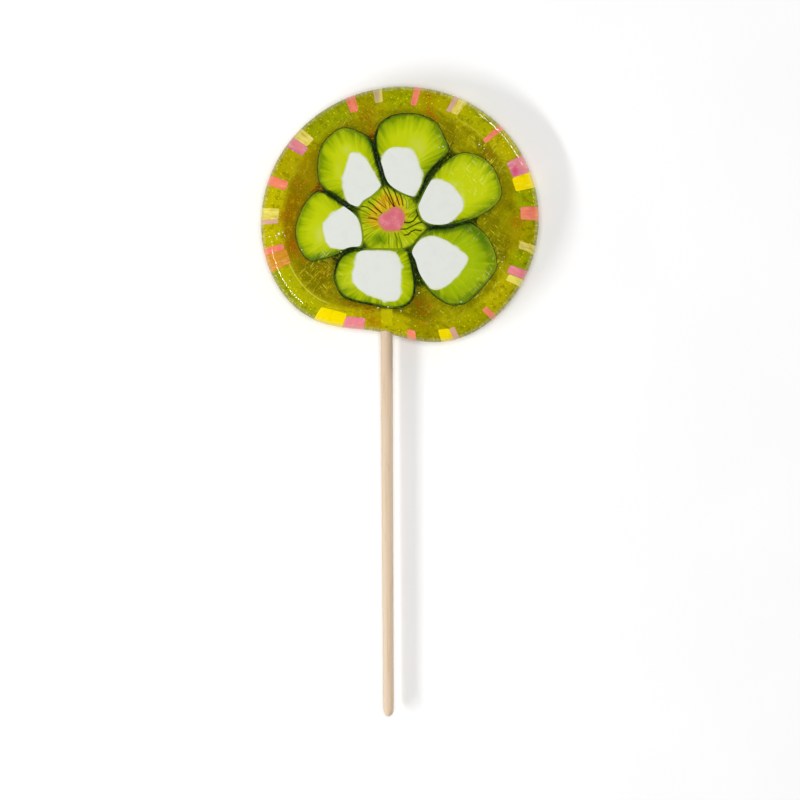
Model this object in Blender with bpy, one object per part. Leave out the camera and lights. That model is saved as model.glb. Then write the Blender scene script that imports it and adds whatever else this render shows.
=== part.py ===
"""A rock candy lollipop lying face up: a slice of green sugar with a flower in it, on a wooden stick.

The slice was cut from a thick rod of boiled sugar and pressed, so its pattern runs straight through from
face to face: six petals round a middle with a pink heart, and short strips of colour all round the rim. Each
colour of sugar is a body of its own. The head lies flat with the stick pointing to -Y, and the origin is on
the ground under the middle of the whole.
"""

import math

import bmesh
import bpy
from mathutils import Matrix, Vector

for old in list(bpy.data.objects):
    bpy.data.objects.remove(old)

MM = 0.001

# The slice of sugar: flat faces and a rim rounded like half an ellipse.
THICKNESS = 9.0 * MM
RIM_REACH = 6.0 * MM
RIM_STEPS = 6
HEAD_SIDES = 64
MEAN_RADIUS = 41.2 * MM

# What pressing and the stick did to the round outline: it sags to the stick's side, is a little oval, and is
# dented where the stick goes in.
SAG = 2.2 * MM
OVAL = 0.7 * MM
OVAL_ANGLE = math.radians(19.0)
DENT_DEPTH = 7.1 * MM
DENT_ANGLE = math.radians(259.0)
DENT_SPREAD = math.radians(19.0)

# Neighbouring bodies keep this gap, half of it on each side of the line between them.
GAP = 0.3 * MM
HALF_GAP = GAP / 2

# The tops of the pieces stand at slightly different heights, as cut and cooled sugar does.
SKIN_TOP = 8.85 * MM
FLESH_TOP = 9.05 * MM
CORE_TOP = 9.15 * MM
CENTRE_TOP = 8.9 * MM
HEART_TOP = 9.0 * MM

SKIN_WALL = 0.55 * MM
CENTRE_RADIUS = 12.6 * MM
CENTRE_MIDDLE = Vector((-3.3, -2.2)) * MM
CENTRE_SIDES = 48

# The stick: turned wood, a little thicker at the sugar's end, with a rounded foot.
STICK_LENGTH = 145.0 * MM
STICK_HEAD_RADIUS = 1.85 * MM
STICK_FOOT_RADIUS = 1.6 * MM
STICK_FOOT_REACH = 2.6 * MM
STICK_FOOT = Vector((-3.45, -150.9, 4.5)) * MM
STICK_LEAN = math.radians(0.28)
STICK_SIDES = 20
STICK_FOOT_STEPS = 4

# Points on each smooth outline between two of its control points.
PETAL_STEPS = 3
CORE_STEPS = 3
HEART_STEPS = 2

# An outline that is moved outwards or inwards stretches its corners by the inverse of this at most, and
# drops the points that come nearer to the first outline than this share of the move.
SHARPEST_CORNER = 0.5
LEAST_MOVE = 0.98

# Points closer than this are one point, and faces that meet at less than this angle are shaded as one.
WELD = 0.001 * MM
SMOOTH_ANGLE = math.radians(35.0)

# Control points of the flower in millimetres from the middle of the head, clockwise seen from above. The first
# petal is at the upper left, and they follow each other clockwise.
PETALS = (
    ((-13.0, 1.6), (-18.9, 4.7), (-23.5, 8.3), (-24.6, 14.2), (-23.1, 20.9), (-17.6, 25.5), (-11.7, 24.2),
     (-8.2, 21.1), (-6.7, 15.4), (-5.0, 9.1), (-7.5, 5.6), (-10.5, 3.6)),
    ((-7.6, 20.5), (-6.6, 25.8), (-2.5, 29.3), (4.7, 29.8), (10.6, 27.4), (13.1, 23.2), (14.6, 19.0),
     (11.8, 15.4), (8.5, 11.7), (6.8, 7.2), (5.2, 4.6), (0.7, 5.7), (-3.9, 8.9), (-6.0, 14.6)),
    ((5.0, 1.6), (5.8, 4.4), (8.4, 9.5), (12.3, 14.5), (19.0, 18.2), (26.2, 15.7), (29.9, 9.1),
     (29.5, 3.9), (22.8, -1.0), (12.7, -3.8), (7.0, -2.6)),
    ((3.1, -11.2), (5.5, -7.4), (9.1, -4.4), (14.8, -3.9), (20.5, -2.6), (26.2, -7.1), (28.9, -14.0),
     (27.6, -18.4), (20.7, -26.0), (15.2, -27.2), (10.0, -24.2), (5.8, -18.9), (4.2, -14.4)),
    ((-19.5, -17.0), (-17.7, -12.8), (-13.6, -10.6), (-7.9, -10.3), (-2.0, -10.4), (2.3, -10.7),
     (3.6, -14.4), (4.6, -20.8), (3.6, -25.9), (-0.6, -28.3), (-7.9, -27.4), (-16.4, -25.2),
     (-19.3, -20.5)),
    ((-17.0, 3.0), (-12.3, -1.0), (-10.9, -6.4), (-11.6, -10.0), (-15.3, -10.7), (-21.8, -13.2),
     (-26.9, -14.0), (-29.9, -10.7), (-31.2, -5.6), (-30.4, -1.4), (-27.9, 3.7), (-23.5, 6.8)),
)
CORES = (
    ((-14.7, 18.2), (-10.9, 17.3), (-7.9, 12.1), (-5.7, 7.2), (-8.3, 5.1), (-13.0, 1.9), (-15.7, 4.5),
     (-16.6, 10.0), (-15.8, 15.4)),
    ((-4.1, 19.3), (-0.6, 20.4), (3.6, 18.8), (6.2, 14.6), (6.6, 10.0), (4.9, 5.6), (2.2, 5.0),
     (-2.0, 7.2), (-4.8, 10.4), (-5.5, 15.0)),
    ((9.0, 9.8), (14.0, 9.6), (17.5, 6.4), (18.8, 1.8), (15.2, -2.7), (11.9, -3.6), (7.4, -2.2),
     (5.5, 1.6), (6.2, 5.8)),
    ((8.1, -6.7), (13.1, -7.5), (17.7, -10.2), (20.4, -13.8), (15.6, -20.1), (10.6, -22.7), (6.6, -19.5),
     (4.1, -15.7), (3.4, -11.1)),
    ((-12.3, -11.2), (-7.1, -10.9), (-1.6, -11.3), (0.0, -14.9), (0.7, -20.3), (-0.4, -25.4),
     (-4.1, -26.1), (-10.5, -23.1), (-14.0, -19.9), (-14.0, -15.3)),
    ((-16.1, 2.1), (-13.6, -0.3), (-11.9, -4.3), (-10.9, -8.8), (-13.8, -10.1), (-20.6, -10.2),
     (-22.5, -6.4), (-23.1, -2.7), (-19.9, 0.5)),
)
HEART = (
    (-7.1, -1.4), (-4.4, 0.8), (-1.0, 1.8), (1.1, 0.1), (1.5, -2.9), (-0.4, -5.5), (-4.6, -4.9),
    (-6.6, -3.3),
)

# The number of the petal that the stick runs through.
STICK_PETAL = 5

# Strips in the rim, anticlockwise from the right: where a group starts and how far its inner end leans, both
# in degrees, then each strip's colour, width along the edge and depth in millimetres.
RIM_STRIPS = (
    (-2.7, 0.0, (("salmon", 4.3, 5.6),)),
    (11.3, -0.5, (("yellow", 4.9, 6.1), ("mauve", 5.7, 5.6))),
    (39.3, 0.0, (("salmon", 1.8, 7.1),)),
    (58.7, 1.0, (("cream", 2.7, 5.3), ("mauve", 1.6, 5.4))),
    (79.8, 1.6, (("salmon", 2.2, 5.9),)),
    (98.0, 0.6, (("cream", 2.7, 4.5),)),
    (110.5, 1.2, (("salmon", 3.0, 5.1),)),
    (139.0, 0.0, (("cream", 3.6, 5.3), ("mauve", 3.6, 5.9))),
    (163.0, 1.0, (("salmon", 3.2, 6.1),)),
    (177.5, 0.0, (("cream", 3.6, 5.4), ("mauve", 1.5, 5.4))),
    (194.0, 0.3, (("salmon", 2.2, 6.3), ("orange", 5.5, 6.8))),
    (231.0, -1.2, (("yellow", 8.8, 4.5), ("mauve", 6.4, 3.6))),
    (273.3, 0.3, (("salmon", 2.5, 2.9),)),
    (288.0, 0.0, (("yellow", 3.6, 3.8), ("mauve", 1.9, 3.8))),
    (311.5, -1.2, (("salmon", 1.9, 4.3),)),
    (329.3, -1.5, (("cream", 2.4, 4.8), ("mauve", 2.9, 5.7))),
    (343.0, 0.7, (("cream", 2.6, 5.1),)),
)

# Colour, roughness and share of light let through for each material.
FINISHES = {
    "green_sugar": ("#8C8206", 0.08, 0.5),
    "skin_sugar": ("#22340C", 0.15, 0.0),
    "flesh_sugar": ("#B4C114", 0.12, 0.0),
    "core_sugar": ("#E1E4DC", 0.15, 0.0),
    "centre_sugar": ("#9BA514", 0.12, 0.0),
    "heart_sugar": ("#D9787B", 0.12, 0.0),
    "salmon_sugar": ("#ED8861", 0.12, 0.0),
    "yellow_sugar": ("#F0D81E", 0.12, 0.0),
    "cream_sugar": ("#E4D45C", 0.12, 0.0),
    "mauve_sugar": ("#E18A8A", 0.12, 0.0),
    "orange_sugar": ("#DA9C3A", 0.1, 0.3),
    "birch": ("#DBC3A7", 0.6, 0.0),
}


def linear(channel):
    """One channel of an sRGB colour, from 0 to 1, as linear light."""
    return channel / 12.92 if channel <= 0.04045 else ((channel + 0.055) / 1.055) ** 2.4


def material(name):
    """The material of this name, made the first time it is asked for."""
    if name in bpy.data.materials:
        return bpy.data.materials[name]
    colour, roughness, clearness = FINISHES[name]
    made = bpy.data.materials.new(name)
    made.use_nodes = True
    shader = made.node_tree.nodes["Principled BSDF"]
    rgb = [linear(int(colour[place:place + 2], 16) / 255) for place in (1, 3, 5)]
    shader.inputs["Base Color"].default_value = (*rgb, 1.0)
    shader.inputs["Roughness"].default_value = roughness
    shader.inputs["Metallic"].default_value = 0.0
    shader.inputs["Transmission Weight"].default_value = clearness
    return made


def head_radius(angle):
    """Distance from the middle of the head to its edge in one direction."""
    angle %= math.tau
    oval = OVAL * math.cos(2 * (angle - OVAL_ANGLE))
    dent = DENT_DEPTH * math.exp(-0.5 * ((angle - DENT_ANGLE) / DENT_SPREAD) ** 2)
    return MEAN_RADIUS - SAG * math.sin(angle) + oval - dent


def head_point(angle, inset=0.0):
    """A point this far inside the head's edge, seen from above."""
    radius = head_radius(angle) - inset
    return Vector((radius * math.cos(angle), radius * math.sin(angle)))


def smooth_loop(control_points, steps):
    """A closed Catmull-Rom curve through points given in millimetres."""
    points = [Vector(point) * MM for point in control_points]
    loop = []
    for index, start in enumerate(points):
        before = points[index - 1]
        end = points[(index + 1) % len(points)]
        after = points[(index + 2) % len(points)]
        for step in range(steps):
            t = step / steps
            bend = 2 * before - 5 * start + 4 * end - after
            twist = 3 * start - before - 3 * end + after
            loop.append(0.5 * (2 * start + (end - before) * t + bend * t ** 2 + twist * t ** 3))
    return loop


def distance_to_loop(point, loop):
    """Shortest distance from a point to a closed loop."""
    nearest = math.inf
    for start, end in zip(loop, loop[1:] + loop[:1]):
        along = end - start
        share = max(0.0, min(1.0, (point - start).dot(along) / along.length_squared))
        nearest = min(nearest, (point - start - share * along).length)
    return nearest


def grown(loop, distance):
    """A clockwise loop moved outwards, or inwards by a negative distance, without folds at tight bends."""
    moved = []
    for before, here, after in zip(loop[-1:] + loop[:-1], loop, loop[1:] + loop[:1]):
        side_in = (here - before).normalized().orthogonal()
        side_out = (after - here).normalized().orthogonal()
        outwards = (side_in + side_out).normalized()
        moved.append(here + outwards * distance / max(outwards.dot(side_in), SHARPEST_CORNER))
    clear = LEAST_MOVE * abs(distance)
    return [point for point in moved if distance_to_loop(point, loop) > clear]


def object_from(name, mesh):
    """A new object in the scene from a bmesh, which is freed."""
    bmesh.ops.recalc_face_normals(mesh, faces=mesh.faces)
    data = bpy.data.meshes.new(name)
    mesh.to_mesh(data)
    mesh.free()
    made = bpy.data.objects.new(name, data)
    bpy.context.scene.collection.objects.link(made)
    return made


def vertices_of(result):
    return [item for item in result["geom"] if isinstance(item, bmesh.types.BMVert)]


def prism(name, loop, top, bottom=0.0):
    """A solid with upright walls over a closed loop."""
    mesh = bmesh.new()
    base = mesh.faces.new([mesh.verts.new((point.x, point.y, bottom)) for point in loop])
    raised = vertices_of(bmesh.ops.extrude_face_region(mesh, geom=[base]))
    bmesh.ops.translate(mesh, vec=(0.0, 0.0, top - bottom), verts=raised)
    return object_from(name, mesh)


def cutting_prism(loop):
    """A prism that passes right through the slice, above and below."""
    return prism("cutter", loop, top=2 * THICKNESS, bottom=-THICKNESS)


def slice_solid(name):
    """The whole slice, ring by ring from its flat underside over the rounded rim to its flat top."""
    mesh = bmesh.new()
    angles = [math.tau * side / HEAD_SIDES for side in range(HEAD_SIDES)]
    cap = mesh.faces.new([mesh.verts.new((*head_point(angle, RIM_REACH), 0.0)) for angle in angles])
    for step in range(1, RIM_STEPS + 1):
        turn = math.pi * (step / RIM_STEPS - 0.5)
        inset = RIM_REACH * (1 - math.cos(turn))
        height = THICKNESS / 2 * (1 + math.sin(turn))
        result = bmesh.ops.extrude_face_region(mesh, geom=[cap])
        if step > 1:
            bmesh.ops.delete(mesh, geom=[cap], context="FACES_ONLY")
        cap = next(item for item in result["geom"] if isinstance(item, bmesh.types.BMFace))
        for vertex in vertices_of(result):
            angle = math.atan2(vertex.co.y, vertex.co.x)
            vertex.co = (*head_point(angle, inset), height)
    return object_from(name, mesh)


def stick_solid(name, room=0.0):
    """The stick, or with some room all round it the bore that it needs in the sugar."""
    profile = [(0.0, STICK_LENGTH + room), (STICK_HEAD_RADIUS + room, STICK_LENGTH + room)]
    for step in range(STICK_FOOT_STEPS + 1):
        turn = math.pi / 2 * step / STICK_FOOT_STEPS
        radius = (STICK_FOOT_RADIUS + room) * math.cos(turn)
        profile.append((radius, STICK_FOOT_REACH * (1 - math.sin(turn))))
    mesh = bmesh.new()
    points = [mesh.verts.new((radius, along, 0.0)) for radius, along in profile]
    edges = [mesh.edges.new(pair) for pair in zip(points, points[1:])]
    bmesh.ops.spin(mesh, geom=points + edges, cent=(0, 0, 0), axis=(0, 1, 0), angle=math.tau,
                   steps=STICK_SIDES, use_merge=True)
    bmesh.ops.remove_doubles(mesh, verts=mesh.verts, dist=WELD)
    place = Matrix.Translation(STICK_FOOT) @ Matrix.Rotation(STICK_LEAN, 4, "Z")
    bmesh.ops.transform(mesh, matrix=place, verts=mesh.verts)
    return object_from(name, mesh)


def combine(piece, tool, operation):
    """Apply one Boolean to a piece and throw its tool away."""
    modifier = piece.modifiers.new("shape", "BOOLEAN")
    modifier.operation = operation
    modifier.solver = "EXACT"
    modifier.object = tool
    result = bpy.data.meshes.new_from_object(piece.evaluated_get(bpy.context.evaluated_depsgraph_get()))
    piece.modifiers.clear()
    piece.data = result
    bpy.data.objects.remove(tool)


def keep_largest_part(piece):
    """Drop the scraps that a cut leaves loose."""
    mesh = bmesh.new()
    mesh.from_mesh(piece.data)
    bmesh.ops.remove_doubles(mesh, verts=mesh.verts, dist=WELD)
    unseen = set(mesh.verts)
    parts = []
    while unseen:
        part = {unseen.pop()}
        edge_of_part = list(part)
        while edge_of_part:
            vertex = edge_of_part.pop()
            fresh = {edge.other_vert(vertex) for edge in vertex.link_edges} - part
            part |= fresh
            edge_of_part.extend(fresh)
        unseen -= part
        parts.append(part)
    largest = max(parts, key=len)
    bmesh.ops.delete(mesh, geom=[vertex for vertex in mesh.verts if vertex not in largest], context="VERTS")
    mesh.to_mesh(piece.data)
    mesh.free()


def finish(piece, finish_name, parent):
    """Give a piece its material and smooth shading, and hang it on the whole."""
    piece.data.materials.clear()
    piece.data.materials.append(material(finish_name))
    piece.data.shade_smooth()
    piece.data.set_sharp_from_angle(angle=SMOOTH_ANGLE)
    piece.parent = parent


def strip_corners(group_start, lean, strips):
    """The corners of each strip in one group, clockwise, with its colour."""
    beyond = 3.0 * MM
    start = math.radians(group_start)
    for colour, width, depth in strips:
        end = start + width * MM / head_radius(start)
        inner_start = start + math.radians(lean)
        inner_end = end + math.radians(lean)
        corners = [head_point(end, -beyond), head_point(start, -beyond),
                   head_point(inner_start, depth * MM), head_point(inner_end, depth * MM)]
        yield colour, corners
        start = end


def build_petal(number, petal_loop, core_loop, parent):
    """One petal: a thin dark skin, lime flesh inside it and a white core set into the flesh."""
    flesh_loop = grown(petal_loop, -HALF_GAP - SKIN_WALL - GAP)
    skin = prism(f"petal_skin_{number}", grown(petal_loop, -HALF_GAP), SKIN_TOP)
    combine(skin, cutting_prism(grown(petal_loop, -HALF_GAP - SKIN_WALL)), "DIFFERENCE")
    flesh = prism(f"petal_flesh_{number}", flesh_loop, FLESH_TOP)
    combine(flesh, cutting_prism(grown(core_loop, HALF_GAP)), "DIFFERENCE")
    core = prism(f"petal_core_{number}", grown(core_loop, -HALF_GAP), CORE_TOP)
    combine(core, cutting_prism(flesh_loop), "INTERSECT")
    pieces = {"skin_sugar": skin, "flesh_sugar": flesh, "core_sugar": core}
    for finish_name, piece in pieces.items():
        if number == STICK_PETAL:
            combine(piece, stick_solid("cutter", GAP), "DIFFERENCE")
        keep_largest_part(piece)
        finish(piece, finish_name, parent)


def build_flower_middle(petal_loops, heart_loop, parent):
    """The wrinkled centre, which fills the space that the petals leave, and the pink heart in it."""
    turns = [-math.tau * side / CENTRE_SIDES for side in range(CENTRE_SIDES)]
    disc = [CENTRE_MIDDLE + CENTRE_RADIUS * Vector((math.cos(turn), math.sin(turn))) for turn in turns]
    centre = prism("flower_centre", disc, CENTRE_TOP)
    for loop in petal_loops + [heart_loop]:
        combine(centre, cutting_prism(grown(loop, HALF_GAP)), "DIFFERENCE")
    combine(centre, stick_solid("cutter", GAP), "DIFFERENCE")
    keep_largest_part(centre)
    finish(centre, "centre_sugar", parent)
    heart = prism("flower_heart", grown(heart_loop, -HALF_GAP), HEART_TOP)
    finish(heart, "heart_sugar", parent)


def build_rim_strips(body, parent):
    """The strips of colour in the rim, each cut from a slice of its own, and their slots in the body."""
    counts = {}
    for group in RIM_STRIPS:
        for colour, corners in strip_corners(*group):
            counts[colour] = counts.get(colour, 0) + 1
            strip = slice_solid(f"strip_{colour}_{counts[colour]}")
            combine(strip, cutting_prism(grown(corners, -HALF_GAP)), "INTERSECT")
            keep_largest_part(strip)
            finish(strip, f"{colour}_sugar", parent)
            combine(body, cutting_prism(grown(corners, HALF_GAP)), "DIFFERENCE")


def build_lollipop():
    edge = [head_point(math.tau * side / HEAD_SIDES) for side in range(HEAD_SIDES)]
    left = min(point.x for point in edge)
    right = max(point.x for point in edge)
    top = max(point.y for point in edge)
    whole = bpy.data.objects.new("lollipop", None)
    whole.location = (-(left + right) / 2, -(top + STICK_FOOT.y) / 2, 0.0)
    bpy.context.scene.collection.objects.link(whole)

    petal_loops = [smooth_loop(points, PETAL_STEPS) for points in PETALS]
    core_loops = [smooth_loop(points, CORE_STEPS) for points in CORES]
    for number, (petal_loop, core_loop) in enumerate(zip(petal_loops, core_loops), start=1):
        build_petal(number, petal_loop, core_loop, whole)
    build_flower_middle(petal_loops, smooth_loop(HEART, HEART_STEPS), whole)

    body = slice_solid("clear_sugar")
    for loop in petal_loops:
        combine(body, cutting_prism(grown(loop, HALF_GAP)), "DIFFERENCE")
    combine(body, stick_solid("cutter", GAP), "DIFFERENCE")
    build_rim_strips(body, whole)
    keep_largest_part(body)
    finish(body, "green_sugar", whole)

    finish(stick_solid("stick"), "birch", whole)


build_lollipop()
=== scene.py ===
"""A rock candy lollipop lying face up on a pale floor, dressed for a picture taken from straight above.

The solids give each piece its place and form. The pieces made here repeat those forms more finely, and
carry what the eye sees in boiled sugar: fibres in the petals, creases round the heart, flecks and gloss.
Some light is painted into the colours: shade in the creases, light through the thin rim, a highlight where
the face ends, and glints on grains and flecks.
"""

import math
import random
from types import SimpleNamespace

import bmesh
import bpy
import numpy as np
from bpy.props import FloatProperty, FloatVectorProperty, PointerProperty
from mathutils import Matrix, Vector


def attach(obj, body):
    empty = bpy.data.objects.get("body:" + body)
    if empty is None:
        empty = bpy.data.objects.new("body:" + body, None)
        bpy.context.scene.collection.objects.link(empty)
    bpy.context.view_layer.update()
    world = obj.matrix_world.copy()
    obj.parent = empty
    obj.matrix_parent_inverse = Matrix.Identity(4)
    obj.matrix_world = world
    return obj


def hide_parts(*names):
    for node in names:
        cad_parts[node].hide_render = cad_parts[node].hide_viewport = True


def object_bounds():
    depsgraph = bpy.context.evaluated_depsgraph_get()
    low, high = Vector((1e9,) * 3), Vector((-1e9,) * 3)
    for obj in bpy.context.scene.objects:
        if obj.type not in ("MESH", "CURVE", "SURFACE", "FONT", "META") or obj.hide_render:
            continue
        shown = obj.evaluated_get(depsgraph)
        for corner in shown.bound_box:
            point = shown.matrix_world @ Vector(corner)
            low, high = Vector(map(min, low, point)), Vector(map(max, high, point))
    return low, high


bl_info = {
    "name": "Rock Candy Lollipop",
    "version": (1, 0, 0),
    "blender": (4, 5, 0),
    "location": "View3D > Sidebar > Lollipop",
    "description": "Dresses a green rock candy lollipop with a flower in it",
    "category": "Object",
}

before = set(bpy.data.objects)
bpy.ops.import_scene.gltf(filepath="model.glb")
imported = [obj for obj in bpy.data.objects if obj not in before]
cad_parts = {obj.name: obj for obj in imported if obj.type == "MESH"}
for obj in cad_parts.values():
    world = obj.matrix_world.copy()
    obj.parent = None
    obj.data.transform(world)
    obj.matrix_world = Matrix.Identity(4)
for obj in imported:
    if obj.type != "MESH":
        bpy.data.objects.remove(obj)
CAD_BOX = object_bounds()

MM = 0.001

# The outline of the head, as in the solids.
SAG = 2.2 * MM
OVAL = 0.7 * MM
OVAL_ANGLE = math.radians(19.0)
DENT_DEPTH = 7.1 * MM
DENT_ANGLE = math.radians(259.0)
DENT_SPREAD = math.radians(19.0)
HEAD_ACROSS = 0.041 * MM

# The rounded rim, in finer steps than the solid has.
RIM_SIDES = 320
RIM_STEPS = 16

# Room between the slice and the petals set into it, between the flower's middle and the petals, between
# other pieces that touch, and round the stick in its bore.
SLOT_ROOM = 0.15 * MM
CENTRE_ROOM = 0.02 * MM
HAIRLINE = 0.01 * MM
BORE_ROOM = 0.3 * MM

# Vertices closer than this are one.
DOUBLES = 0.001 * MM

# Cutters pass right through the slice, from one of these heights to the other.
CUTTER_TOP = 20.0 * MM
CUTTER_BOTTOM = -10.0 * MM

# Edges that turn more than this are shaded sharp.
SHARP_ANGLE = math.radians(35)

# Where an outline is moved, its corners move out at most as if they turned this sharply, and points that
# end nearer to the old outline than this share of the distance are dropped.
SHARPEST = 0.5
NEARLY = 0.98

SKIN_WALL = 0.55 * MM
CENTRE_RADIUS = 12.6 * MM
CENTRE_MIDDLE = Vector((-3.3, -2.2)) * MM
HEART_MIDDLE = Vector((-2.9, -2.0)) * MM
CENTRE_SIDES = 96

# How far the tops of the pieces stand from the face of the slice.
SKIN_RISE = -0.1 * MM
FLESH_RISE = 0.02 * MM
CORE_RISE = 0.05 * MM
CENTRE_RISE = -0.05 * MM
HEART_RISE = 0.0
CREASE_DEPTH = 0.05 * MM

STICK_FOOT = Vector((-3.45, -150.9, 4.5)) * MM
STICK_LEAN = math.radians(0.28)
STICK_FOOT_REACH = 2.6 * MM
STICK_SIDES = 64
STICK_FOOT_STEPS = 10
STICK_RINGS = 24
# The petal that the stick's end is in.
STICK_PETAL = 5

# Points on each smooth outline between two of its control points.
OUTLINE_STEPS = 8

# The inner corners of a strip: how far the rounding reaches, in millimetres and at most as a share of the
# width.
CORNER_REACH = 0.6
CORNER_SHARE = 0.3
CORNER_STEPS = 4

# How far the outline that cuts out a strip passes the edge of the head.
STRIP_OVERHANG = 3.0 * MM

# A mauve strip narrower than this, in millimetres, looks dusty by so much.
NARROW_STRIP = 2.0
DUST = 0.6

# The rings, in millimetres, that the fibres of a petal and of the middle are laid out on.
PETAL_RING = 11.0
CENTRE_RING = 8.0

# Where two petals are closer than this in millimetres, the line between them is thicker by so much, and the
# table of thin places thins it by so much.
CROWDED = 2.0
THICKENED = 0.5
THINNED = 0.7

# The dark edge of a petal's flesh is left as it is this many millimetres from the outline.
EDGE_KEPT = 0.6

# The paler patch where the stick comes in, in millimetres from the middle of the head.
PATCH_BOTTOM, PATCH_TOP = -33.7, -28.4
PATCH_MIDDLE, PATCH_HALF_WIDTH = -4.0, 1.9
PATCH_END_BLUR, PATCH_SIDE_BLUR = 0.5, 0.35
PATCH_STRENGTH = 0.9

# Scratches: how far they waver, their width, and how drawn out they are.
SCRATCH_WAVER = 0.5 * MM
SCRATCH_WIDTH = 0.26 * MM
SCRATCH_STRETCH = 0.09

# The painted highlight, a thin bright line where the face ends, is this many millimetres inside the edge.
RIM_HIGHLIGHT_INSET = 6.3

# The photograph is this many pixels wide and high, a pixel is this long on the lollipop, and the middle of
# the head is on this row of it. The camera frames the plane at this height.
FRAME_PIXELS = 800
PIXEL = 0.3 * MM
HEAD_ROW = 214
FRAMED_HEIGHT = 7.0 * MM
LENS = 180.0
SENSOR = 36.0
NEAREST = 0.01

# The floor reaches this many metres to each side.
FLOOR_REACH = 1.5

# The sky is this strong, and so much darker overhead, from one height of the view's direction to another.
DOME_STRENGTH = 0.23
ZENITH_STRENGTH = 0.02
ZENITH_HEIGHTS = (0.95, 0.75)

# Lamps: the direction they stand in and their height over the horizon in degrees, their distance, width and
# depth in metres, their power in watts, and whether the sugar mirrors them. The first is a broad one
# overhead, which only lights. The long ones draw the bright lines that run along the rounding of the rim.
LAMPS = (
    (90, 90, 1.6, 0.9, 0.9, 16.4, False),
    (209, 30, 0.8, 0.5, 0.045, 3.4, True),
    (41, 8, 0.8, 0.46, 0.05, 2.6, True),
)

# Widths of the cells that the faces are cut into, so that colours and creases can follow them.
BODY_CELL = 0.6 * MM
FLESH_CELL = 0.35 * MM
CENTRE_CELL = 0.16 * MM
STRIP_CELL = 0.5 * MM

# Control points of the flower in millimetres from the middle of the head, clockwise from above. The first
# petal is at the upper left, and they follow each other clockwise.
PETALS = (
    ((-13.0, 1.6), (-18.9, 4.7), (-23.5, 8.3), (-24.6, 14.2), (-23.1, 20.9), (-17.6, 25.5), (-11.7, 24.2),
     (-8.2, 21.1), (-6.7, 15.4), (-5.0, 9.1), (-7.5, 5.6), (-10.5, 3.6)),
    ((-7.6, 20.5), (-6.6, 25.8), (-2.5, 29.3), (4.7, 29.8), (10.6, 27.4), (13.1, 23.2), (14.6, 19.0),
     (11.8, 15.4), (8.5, 11.7), (6.8, 7.2), (5.2, 4.6), (0.7, 5.7), (-3.9, 8.9), (-6.0, 14.6)),
    ((5.0, 1.6), (5.8, 4.4), (8.4, 9.5), (12.3, 14.5), (19.0, 18.2), (26.2, 15.7), (29.9, 9.1), (29.5, 3.9),
     (22.8, -1.0), (12.7, -3.8), (7.0, -2.6)),
    ((3.1, -11.2), (5.5, -7.4), (9.1, -4.4), (14.8, -3.9), (20.5, -2.6), (26.2, -7.1), (28.9, -14.0),
     (27.6, -18.4), (20.7, -26.0), (15.2, -27.2), (10.0, -24.2), (5.8, -18.9), (4.2, -14.4)),
    ((-19.5, -17.0), (-17.7, -12.8), (-13.6, -10.6), (-7.9, -10.3), (-2.0, -10.4), (2.3, -10.7), (3.6, -14.4),
     (4.6, -20.8), (3.6, -25.9), (-0.6, -28.3), (-7.9, -27.4), (-16.4, -25.2), (-19.3, -20.5)),
    ((-17.0, 3.0), (-12.3, -1.0), (-10.9, -6.4), (-11.6, -10.0), (-15.3, -10.7), (-21.8, -13.2),
     (-26.9, -14.0), (-29.9, -10.7), (-31.2, -5.6), (-30.4, -1.4), (-27.9, 3.7), (-23.5, 6.8)),
)
CORES = (
    ((-14.7, 18.3), (-10.9, 17.3), (-7.6, 12.3), (-5.4, 7.2), (-8.1, 4.8), (-12.9, 1.3), (-16.1, 4.3),
     (-17.3, 10.0), (-15.9, 15.4)),
    ((-3.9, 19.1), (-0.6, 20.0), (3.7, 18.9), (5.9, 14.5), (6.6, 10.0), (4.7, 5.8), (2.2, 4.8),
     (-2.3, 6.9), (-5.2, 10.2), (-5.9, 15.0)),
    ((8.9, 9.9), (14.0, 9.6), (17.5, 6.4), (19.0, 1.7), (15.0, -2.5), (11.9, -3.8), (7.2, -2.5),
     (5.0, 1.5), (5.8, 6.0)),
    ((8.1, -6.8), (13.0, -7.6), (17.4, -10.5), (20.5, -13.8), (15.7, -20.2), (10.6, -22.9), (6.2, -19.9),
     (3.2, -16.1), (3.0, -10.9)),
    ((-12.2, -11.4), (-7.1, -11.1), (-1.7, -11.4), (0.3, -14.8), (0.3, -20.3), (-0.3, -25.5),
     (-4.1, -26.2), (-10.9, -23.7), (-14.3, -20.0), (-13.7, -15.4)),
    ((-16.1, 2.4), (-13.2, 0.0), (-11.6, -4.2), (-10.4, -8.9), (-13.7, -10.6), (-20.6, -10.2),
     (-22.9, -6.5), (-22.9, -2.8), (-19.8, 0.3)),
)
HEART = (
    (-6.5, -1.4), (-5.6, -0.2), (-3.9, 0.7), (-2.4, 1.9), (-0.4, 1.9), (1.1, 0.3), (1.4, -2.0), (0.3, -4.4),
    (-1.6, -5.2), (-4.6, -4.9), (-6.1, -3.3),
)

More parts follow.
